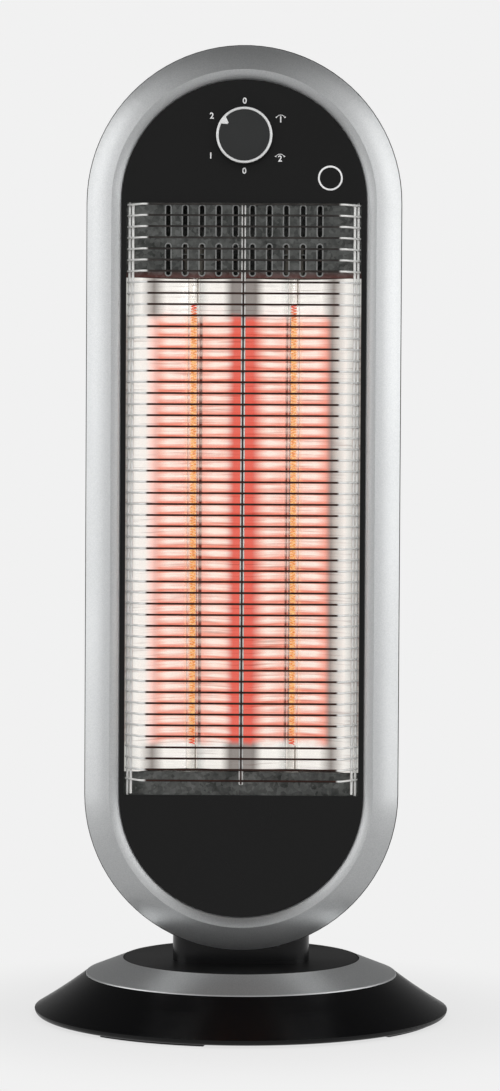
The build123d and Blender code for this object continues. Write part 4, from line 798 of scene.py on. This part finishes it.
class HEATER_OT_stage(bpy.types.Operator):
    """Set up the camera, the lamps, the floor and the pale backdrop"""

    bl_idname = "heater.stage"
    bl_label = "Stage"

    # The softboxes stand at both sides, and the fill lamp above the camera
    SOFTBOX_PLACE = (1.35, 0.0, 0.85)
    SOFTBOX_AIM = (0.0, 0.0, 0.85)
    SOFTBOX_SIZE = (1.0, 1.7)
    FILL_PLACE = (0.25, -2.2, 1.3)
    FILL_AIM = (0.0, 0.0, 0.3)
    FILL_SIZE = (1.6, 1.6)

    # The floor, and how far from its middle its real shading ends
    FLOOR_SIZE = 24.0
    SHADOW_START, SHADOW_END = 0.13, 0.30
    MIRRORED_START, MIRRORED_END = 0.0, 0.3

    # What polished pieces reflect: the room from below to above, a wall in front and lit panels aside
    ROOM_GREYS = ((0.0, 0.2), (0.3, 0.17), (0.6, 0.06), (1.0, 0.0))
    FRONT_GREY = 0.33
    PANEL_GREY = 0.6
    SOFT_GREY = 0.42

    def execute(self, context):
        settings = context.scene.heater_stage
        context.scene.view_settings.view_transform = "Standard"
        self.camera(context, settings)
        self.lamps(settings)
        self.floor(settings)
        self.world(context, settings)
        return {"FINISHED"}

    def camera(self, context, settings):
        """The camera of the photograph."""
        deselect()
        bpy.ops.object.camera_add(location=settings.camera_place, rotation=settings.camera_turn)
        camera = named("camera")
        camera.data.lens = settings.lens
        camera.data.clip_start = 0.01
        camera.data.clip_end = 60.0
        context.scene.camera = camera

    def softbox(self, lamp_name, place, aim, size, watts):
        """Rectangular lamp that the camera doesn't see."""
        deselect()
        turn = (Vector(aim) - Vector(place)).to_track_quat("-Z", "Y").to_euler()
        bpy.ops.object.light_add(type="AREA", location=place, rotation=turn)
        lamp = named(lamp_name)
        lamp.data.shape = "RECTANGLE"
        lamp.data.size, lamp.data.size_y = size
        lamp.data.energy = watts
        lamp.visible_camera = False
        return lamp

    def lamps(self, settings):
        """A softbox at each side and a fill lamp that nothing reflects."""
        x, y, z = self.SOFTBOX_PLACE
        for side, side_name, watts in ((-1, "left", settings.left_power), (1, "right", settings.right_power)):
            lamp_name = f"softbox_{side_name}"
            self.softbox(lamp_name, (side * x, y, z), self.SOFTBOX_AIM, self.SOFTBOX_SIZE, watts)
        fill = self.softbox("fill", self.FILL_PLACE, self.FILL_AIM, self.FILL_SIZE, settings.fill_power)
        fill.visible_glossy = False

    def floor(self, settings):
        """Floor in the backdrop's colour, with part of its real shading near the heater."""
        deselect()
        bpy.ops.mesh.primitive_plane_add(size=self.FLOOR_SIZE, location=(0, 0, 0))
        floor = named("floor")
        material, tree, shader = new_material("pale_floor")
        place = object_place(tree)
        patch = map_range(tree, noise(tree, place, 3.0), 0.0, 1.0)
        tone = mix_colour(tree, patch, grey(0.78), grey(0.82))
        fill_in(shader, {"Base Color": tone, "Roughness": 0.9, "Specular IOR Level": 0.0})
        path = add(tree, "ShaderNodeLightPath").outputs
        mirrored = map_range(
            tree, axes(tree, place)[1], self.MIRRORED_START, self.MIRRORED_END,
            settings.floor_ahead, settings.floor_behind, smooth=True,
        )
        plain = add(tree, "ShaderNodeEmission")
        plain_colour = mix_colour(tree, path["Is Glossy Ray"], settings.pale, mirrored)
        link(plain_colour, plain.inputs["Color"])
        away = add(tree, "ShaderNodeVectorMath", operation="LENGTH")
        link(place, away.inputs[0])
        near = map_range(
            tree, away.outputs["Value"], self.SHADOW_START, self.SHADOW_END, settings.shadow, 0.0,
            smooth=True,
        )
        unshaded = times(tree, seen_plainly(tree, path), math_node(tree, "SUBTRACT", 1.0, near))
        mix = add(tree, "ShaderNodeMixShader")
        link(math_node(tree, "MAXIMUM", unshaded, path["Is Glossy Ray"]), mix.inputs[0])
        link(shader.outputs[0], mix.inputs[1])
        link(plain.outputs[0], mix.inputs[2])
        link(mix.outputs[0], tree.nodes["Material Output"].inputs["Surface"])
        floor.data.materials.append(material)

    def world(self, context, settings):
        """Plain backdrop for the camera, a soft even light, and a room with lit panels for reflections."""
        world = bpy.data.worlds.new("studio")
        context.scene.world = world
        world.use_nodes = True
        tree = world.node_tree
        background = tree.nodes["Background"]
        sideways, depth, upright = axes(tree, add(tree, "ShaderNodeTexCoord").outputs["Generated"])
        height = map_range(tree, upright, -0.2, 1.0)
        room = ramp(tree, height, [(place, grey(value)) for place, value in self.ROOM_GREYS])
        beside = map_range(tree, math_node(tree, "ABSOLUTE", sideways), 0.1, 0.7)
        ahead = fade(tree, depth, 0.0, 0.25)
        steep = math_node(tree, "ABSOLUTE", upright)
        beside_ahead = times(tree, beside, ahead)
        panel = times(tree, beside_ahead, fade(tree, steep, 0.72, 1.0))
        front = times(tree, ahead, fade(tree, steep, 0.3, 0.7))
        shown = mix_colour(tree, front, room, grey(self.FRONT_GREY))
        shown = mix_colour(tree, panel, shown, grey(self.PANEL_GREY))
        path = add(tree, "ShaderNodeLightPath").outputs
        soft = mix_colour(tree, path["Is Glossy Ray"], grey(self.SOFT_GREY), shown)
        colour = mix_colour(tree, seen_plainly(tree, path), soft, settings.pale)
        fill_in(background, {"Color": colour, "Strength": 1.0})


class HEATER_OT_base(bpy.types.Operator):
    """Finish the base: shell, silver ring, turntable, neck, plate and feet"""

    bl_idname = "heater.base"
    bl_label = "Base"

    def execute(self, context):
        coat("gloss_black", "base_shell", "neck")
        coat("disc_black", "turntable")
        coat("silver_paint", "base_ring")
        coat("plate_steel", "base_plate")
        coat("black_rubber", "base_feet", "cord_grommet")
        coat("zinc_screw", "plate_screws", "neck_screws")
        return {"FINISHED"}


class HEATER_OT_housing(bpy.types.Operator):
    """Finish the head's housing: bezel, rear cover and fascia"""

    bl_idname = "heater.housing"
    bl_label = "Housing"

    def execute(self, context):
        coat("silver_paint", "front_bezel")
        coat("cover_dark", "rear_cover")
        coat("fascia_black", "front_fascia")
        coat("zinc_screw", "cover_screws", "tie_screws")
        return {"FINISHED"}


class HEATER_OT_guard(bpy.types.Operator):
    """Build the welded wire guard in front of the heating window"""

    bl_idname = "heater.guard"
    bl_label = "Wire guard"

    WIRE_SIDES = 10
    ROD_SIDES = 16
    BEND_STEPS = 5
    WIRE_ROUNDING = 0.3  # of the wire's radius, at its end
    ROD_ROUNDING = 0.4  # of the rod's radius, at both ends

    def execute(self, context):
        sizes = context.scene.heater_guard
        radius = sizes.wire_diameter / 2
        wires = self.wire(sizes, radius, grille_high.z - radius)
        mirror = wires.modifiers.new("other_half", "MIRROR")
        mirror.use_axis = (True, False, False)
        mirror.merge_threshold = 0.02 * MM
        rows = wires.modifiers.new("rows", "ARRAY")
        rows.count = sizes.wire_count
        rows.use_relative_offset = False
        rows.use_constant_offset = True
        rows.constant_offset_displace = (0, 0, -wires_height(sizes) / (sizes.wire_count - 1))
        apply_modifiers(wires)
        guard = joined([wires] + self.rods(sizes), "wire_guard")
        outward(guard)
        dressed(guard, finish("guard_wire"), "head")
        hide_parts("guard_grille", "guard_side_left", "guard_side_right")
        return {"FINISHED"}

    def wire(self, sizes, radius, height):
        """Right half of the top wire: straight stretch, bend and leg."""
        deselect()
        front = grille_low.y + radius
        bpy.ops.mesh.primitive_circle_add(
            vertices=self.WIRE_SIDES, radius=radius, location=(0, front, height),
            rotation=(0, math.pi / 2, 0),
        )
        wire = named("wire")
        apply_place(wire)
        turn = math.pi / 2 - sizes.lean
        bend_x = side_low.x
        leg = (math.sin(sizes.lean), math.cos(sizes.lean))
        bent = (bend_x + sizes.bend * math.sin(turn), front + sizes.bend * (1 - math.cos(turn)))
        end_x = side_high.x - radius * math.cos(sizes.lean)
        leg_length = (end_x - bent[0]) / leg[0]
        edit_all()
        bpy.ops.mesh.extrude_region_move(TRANSFORM_OT_translate={"value": (bend_x, 0, 0)})
        bpy.ops.mesh.spin(
            steps=self.BEND_STEPS, angle=-turn, center=(bend_x, front + sizes.bend, height),
            axis=(0, 0, 1),
        )
        bpy.ops.mesh.extrude_region_move(
            TRANSFORM_OT_translate={"value": (leg[0] * leg_length, leg[1] * leg_length, 0)},
        )
        bpy.ops.mesh.edge_face_add()
        rounding = radius * self.WIRE_ROUNDING
        bpy.ops.mesh.inset(thickness=rounding)
        bpy.ops.transform.translate(value=(leg[0] * rounding, leg[1] * rounding, 0))
        stop_editing()
        return wire

    def rod(self, x, y, low, high, radius):
        """Upright rod with rounded ends."""
        deselect()
        bpy.ops.mesh.primitive_cylinder_add(
            vertices=self.ROD_SIDES, radius=radius, depth=high - low, location=(x, y, (low + high) / 2),
        )
        rod = named("rod")
        apply_place(rod)
        edit_all()
        select_edges(lambda middle: min(abs(middle.z - low), abs(middle.z - high)) < 0.1 * MM)
        bpy.ops.mesh.bevel(offset=radius * self.ROD_ROUNDING, segments=2)
        stop_editing()
        return rod

    def rods(self, sizes):
        """The rod in the middle and two at each side, behind the wires' legs."""
        centre = sizes.centre_diameter / 2
        centre_y = grille_low.y + sizes.wire_diameter + centre - sizes.weld
        rods = [self.rod(0, centre_y, grille_low.z, grille_high.z, centre)]
        radius = sizes.rod_diameter / 2
        outer_x = side_high.x - sizes.rod_inset
        outer_y = side_high.y - radius
        inner_x = outer_x - sizes.rod_spacing * math.sin(sizes.lean)
        inner_y = outer_y - sizes.rod_spacing * math.cos(sizes.lean)
        inner_low = side_low.z + sizes.inner_rod_cut
        inner_high = side_high.z - sizes.inner_rod_cut
        for side in (-1, 1):
            rods.append(self.rod(side * outer_x, outer_y, side_low.z, side_high.z, radius))
            rods.append(self.rod(side * inner_x, inner_y, inner_low, inner_high, radius))
        return rods


class HEATER_OT_filaments(bpy.types.Operator):
    """Wind the two carbon filaments"""

    bl_idname = "heater.filaments"
    bl_label = "Filaments"

    WIRE_SIDES = 8
    STEPS_A_TURN = 12

    def execute(self, context):
        settings = context.scene.heater_glow
        for side, side_name in ((-1, "left"), (1, "right")):
            coil = self.coil(settings, side, f"glowing_coil_{side_name}")
            dressed(coil, finish("carbon"), "head")
            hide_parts(f"carbon_filament_{side_name}")
        return {"FINISHED"}

    def coil(self, settings, side, coil_name):
        """One wound filament round its tube's axis."""
        deselect()
        bpy.ops.mesh.primitive_circle_add(
            vertices=self.WIRE_SIDES, radius=settings.coil_wire,
            location=(settings.coil_radius, 0, 0), rotation=(math.pi / 2, 0, 0),
        )
        coil = named(coil_name)
        apply_place(coil)
        wind = coil.modifiers.new("wind", "SCREW")
        wind.axis = "Z"
        wind.angle = 2 * math.pi
        wind.steps = self.STEPS_A_TURN
        wind.render_steps = self.STEPS_A_TURN
        height = coil_high.z - coil_low.z - 2 * settings.coil_wire
        wind.screw_offset = height / settings.coil_turns
        wind.iterations = settings.coil_turns
        wind.use_merge_vertices = False
        apply_modifiers(coil)
        coil.location = (side * tube_x, tube_y, coil_low.z + settings.coil_wire)
        apply_place(coil)
        outward(coil, merge=0.001 * MM)
        return coil


class HEATER_OT_heating_window(bpy.types.Operator):
    """Finish what lies in the heating window: tubes, reflector, plates and ceramic caps"""

    bl_idname = "heater.heating_window"
    bl_label = "Heating window"

    def execute(self, context):
        coat("quartz", "quartz_tube_left", "quartz_tube_right")
        coat("reflector", "reflector")
        # The vent plate has a painted red glow at its foot and painted highlights on its rims
        coat("galvanised_hot", "vent_plate")
        coat("galvanised", "lower_plate", "heat_shield", "cap_brackets")
        coat("ceramic", "ceramic_caps")
        coat("lead_wire", "filament_leads")
        coat("zinc_screw", "bracket_screws", "reflector_screws")
        return {"FINISHED"}


class HEATER_OT_control(bpy.types.Operator):
    """Finish the control: knob, its bright ring, shaft, nut and switch"""

    bl_idname = "heater.control"
    bl_label = "Control"

    def execute(self, context):
        coat("knob_black", "knob")
        coat("bright_trim", "knob_ring")
        coat("plate_steel", "switch_shaft", "switch_nut")
        coat("switch_brown", "rotary_switch")
        return {"FINISHED"}


class HEATER_OT_dial(bpy.types.Operator):
    """Print the numerals round the knob and the plain ring mark"""

    bl_idname = "heater.dial"
    bl_label = "Dial marks"

    # Numerals and their places from the knob's middle, in millimetres
    NUMERALS = (
        ("0", 0.0, 23.35), ("0", 0.0, -22.9), ("2", -21.7, 13.4), ("1", -22.3, -13.0),
        ("1", 23.9, 11.05), ("2", 23.6, -14.75),
    )
    TURN_ARROWS = ((23.9, 14.1), (23.6, -11.7))
    RING_MARK = (57.0, -27.5)
    RING_STEPS = 48
    ARROW_STEPS = 40
    HEAD_TURN = math.radians(25)
    HEAD_DROP = 0.1 * MM  # of the arrowheads' middles below the arc's ends

    def execute(self, context):
        sizes = context.scene.heater_dial
        marks = [self.numeral(sizes, *place) for place in self.NUMERALS]
        for x, z in self.TURN_ARROWS:
            marks += self.arrow(sizes, x * MM, z * MM)
        print_marks = joined(marks, "dial_marks")
        dressed(print_marks, finish("printed_white"), "head")
        x, z = self.RING_MARK
        outer = sizes.mark_diameter / 2
        ring = self.ring(sizes, "ring_mark", x * MM, z * MM, outer, sizes.mark_width, self.RING_STEPS)
        dressed(ring, finish("printed_white"), "head")
        return {"FINISHED"}

    def numeral(self, sizes, text, x, z):
        """One raised numeral that faces the front, with its middle at that place from the knob's."""
        deselect()
        place_x, place_z = knob_x + x * MM, knob_z + z * MM
        bpy.ops.object.text_add(location=(place_x, fascia_y, place_z), rotation=(math.pi / 2, 0, 0))
        numeral = named("numeral")
        numeral.data.body = text
        numeral.data.size = sizes.numeral_height
        numeral.data.align_x = "CENTER"
        numeral.data.align_y = "CENTER"
        numeral.data.extrude = sizes.print_thickness
        numeral.data.resolution_u = 3
        numeral.data.offset = sizes.numeral_weight
        only(numeral)
        bpy.ops.object.convert(target="MESH")
        apply_place(numeral)
        corners = [Vector(corner) for corner in numeral.bound_box]
        middle = sum(corners, Vector()) / len(corners)
        numeral.location = (place_x - middle.x, 0, place_z - middle.z)
        apply_place(numeral)
        return numeral

    def ring(self, sizes, ring_name, x, z, outer, width, steps):
        """Flat printed ring that faces the front, at that place from the knob's middle."""
        deselect()
        bpy.ops.mesh.primitive_circle_add(
            vertices=steps, radius=outer, fill_type="NGON",
            location=(knob_x + x, fascia_y + sizes.print_thickness, knob_z + z),
            rotation=(math.pi / 2, 0, 0),
        )
        ring = named(ring_name)
        apply_place(ring)
        edit_all()
        bpy.ops.mesh.inset(thickness=width)
        bpy.ops.mesh.delete(type="FACE")
        bpy.ops.mesh.select_all(action="SELECT")
        bpy.ops.mesh.extrude_region_move(
            TRANSFORM_OT_translate={"value": (0, -2 * sizes.print_thickness, 0)},
        )
        stop_editing()
        outward(ring)
        return ring

    def arrow(self, sizes, x, z):
        """Arc with an arrowhead at each end, over a numeral; its top is at that place from the knob's."""
        radius = sizes.arrow_radius
        arc = self.ring(sizes, "arc", x, z - radius, radius, sizes.arrow_width, self.ARROW_STEPS)
        ends_z = z - sizes.arrow_rise
        only(arc)
        edit_all()
        bpy.ops.mesh.bisect(
            plane_co=(knob_x, fascia_y, knob_z + ends_z), plane_no=(0, 0, 1), clear_inner=True,
            use_fill=True,
        )
        stop_editing()
        heads = []
        reach = math.sqrt(radius ** 2 - (radius - sizes.arrow_rise) ** 2)
        for side in (-1, 1):
            deselect()
            bpy.ops.mesh.primitive_cylinder_add(
                vertices=3, radius=sizes.arrow_head, depth=2 * sizes.print_thickness,
                location=(knob_x + x + side * reach, fascia_y, knob_z + ends_z - self.HEAD_DROP),
                rotation=(math.pi / 2, math.pi + side * self.HEAD_TURN, 0),
            )
            heads.append(named("arrow_head"))
            apply_place(heads[-1])
        return [arc] + heads


class HEATER_OT_inner_pieces(bpy.types.Operator):
    """Finish the pieces inside base and head"""

    bl_idname = "heater.inner_pieces"
    bl_label = "Inner pieces"

    def execute(self, context):
        coat("cast_iron", "ballast_weight")
        coat("white_plastic", "glide_ring", "cord_clamp", "terminal_block", "sector_gear", "drive_pinion")
        coat("white_plastic", "tip_plunger")
        coat("gloss_black", "tip_switch")
        coat("plate_steel", "swing_motor", "motor_shaft", "tip_spring")
        coat("zinc_screw", "clamp_screws", "motor_screws", "sector_screws")
        coat("lead_sheath", "base_leads", "head_leads")
        coat("switch_brown", "thermal_cutout")
        return {"FINISHED"}


class HEATER_PT_panel(bpy.types.Panel):
    """The heater's steps and sizes"""

    bl_idname = "HEATER_PT_panel"
    bl_label = "Carbon heater"
    bl_space_type = "VIEW_3D"
    bl_region_type = "UI"
    bl_category = "Heater"

    def draw(self, context):
        for step in STEPS:
            self.layout.operator(step.bl_idname)
        for pointer, _ in SETTINGS:
            group = getattr(context.scene, pointer)
            for name in group.bl_rna.properties.keys():
                if name not in ("rna_type", "name"):
                    self.layout.prop(group, name)


SETTINGS = (
    ("heater_stage", StageSettings),
    ("heater_guard", GuardSizes),
    ("heater_glow", GlowSettings),
    ("heater_dial", DialSizes),
)
STEPS = (
    HEATER_OT_stage,
    HEATER_OT_base,
    HEATER_OT_housing,
    HEATER_OT_guard,
    HEATER_OT_filaments,
    HEATER_OT_heating_window,
    HEATER_OT_control,
    HEATER_OT_dial,
    HEATER_OT_inner_pieces,
)


def register():
    """Register settings, steps and panel."""
    for pointer, group in SETTINGS:
        bpy.utils.register_class(group)
        setattr(bpy.types.Scene, pointer, PointerProperty(type=group))
    for step in STEPS:
        bpy.utils.register_class(step)
    bpy.utils.register_class(HEATER_PT_panel)


def unregister():
    """Take the panel, the steps and the settings away again."""
    bpy.utils.unregister_class(HEATER_PT_panel)
    for step in reversed(STEPS):
        bpy.utils.unregister_class(step)
    for pointer, group in reversed(SETTINGS):
        delattr(bpy.types.Scene, pointer)
        bpy.utils.unregister_class(group)


def main():
    """Build the heater."""
    register()
    for step in STEPS:
        area, name = step.bl_idname.split(".")
        getattr(getattr(bpy.ops, area), name)()


if __name__ == "__main__":
    main()
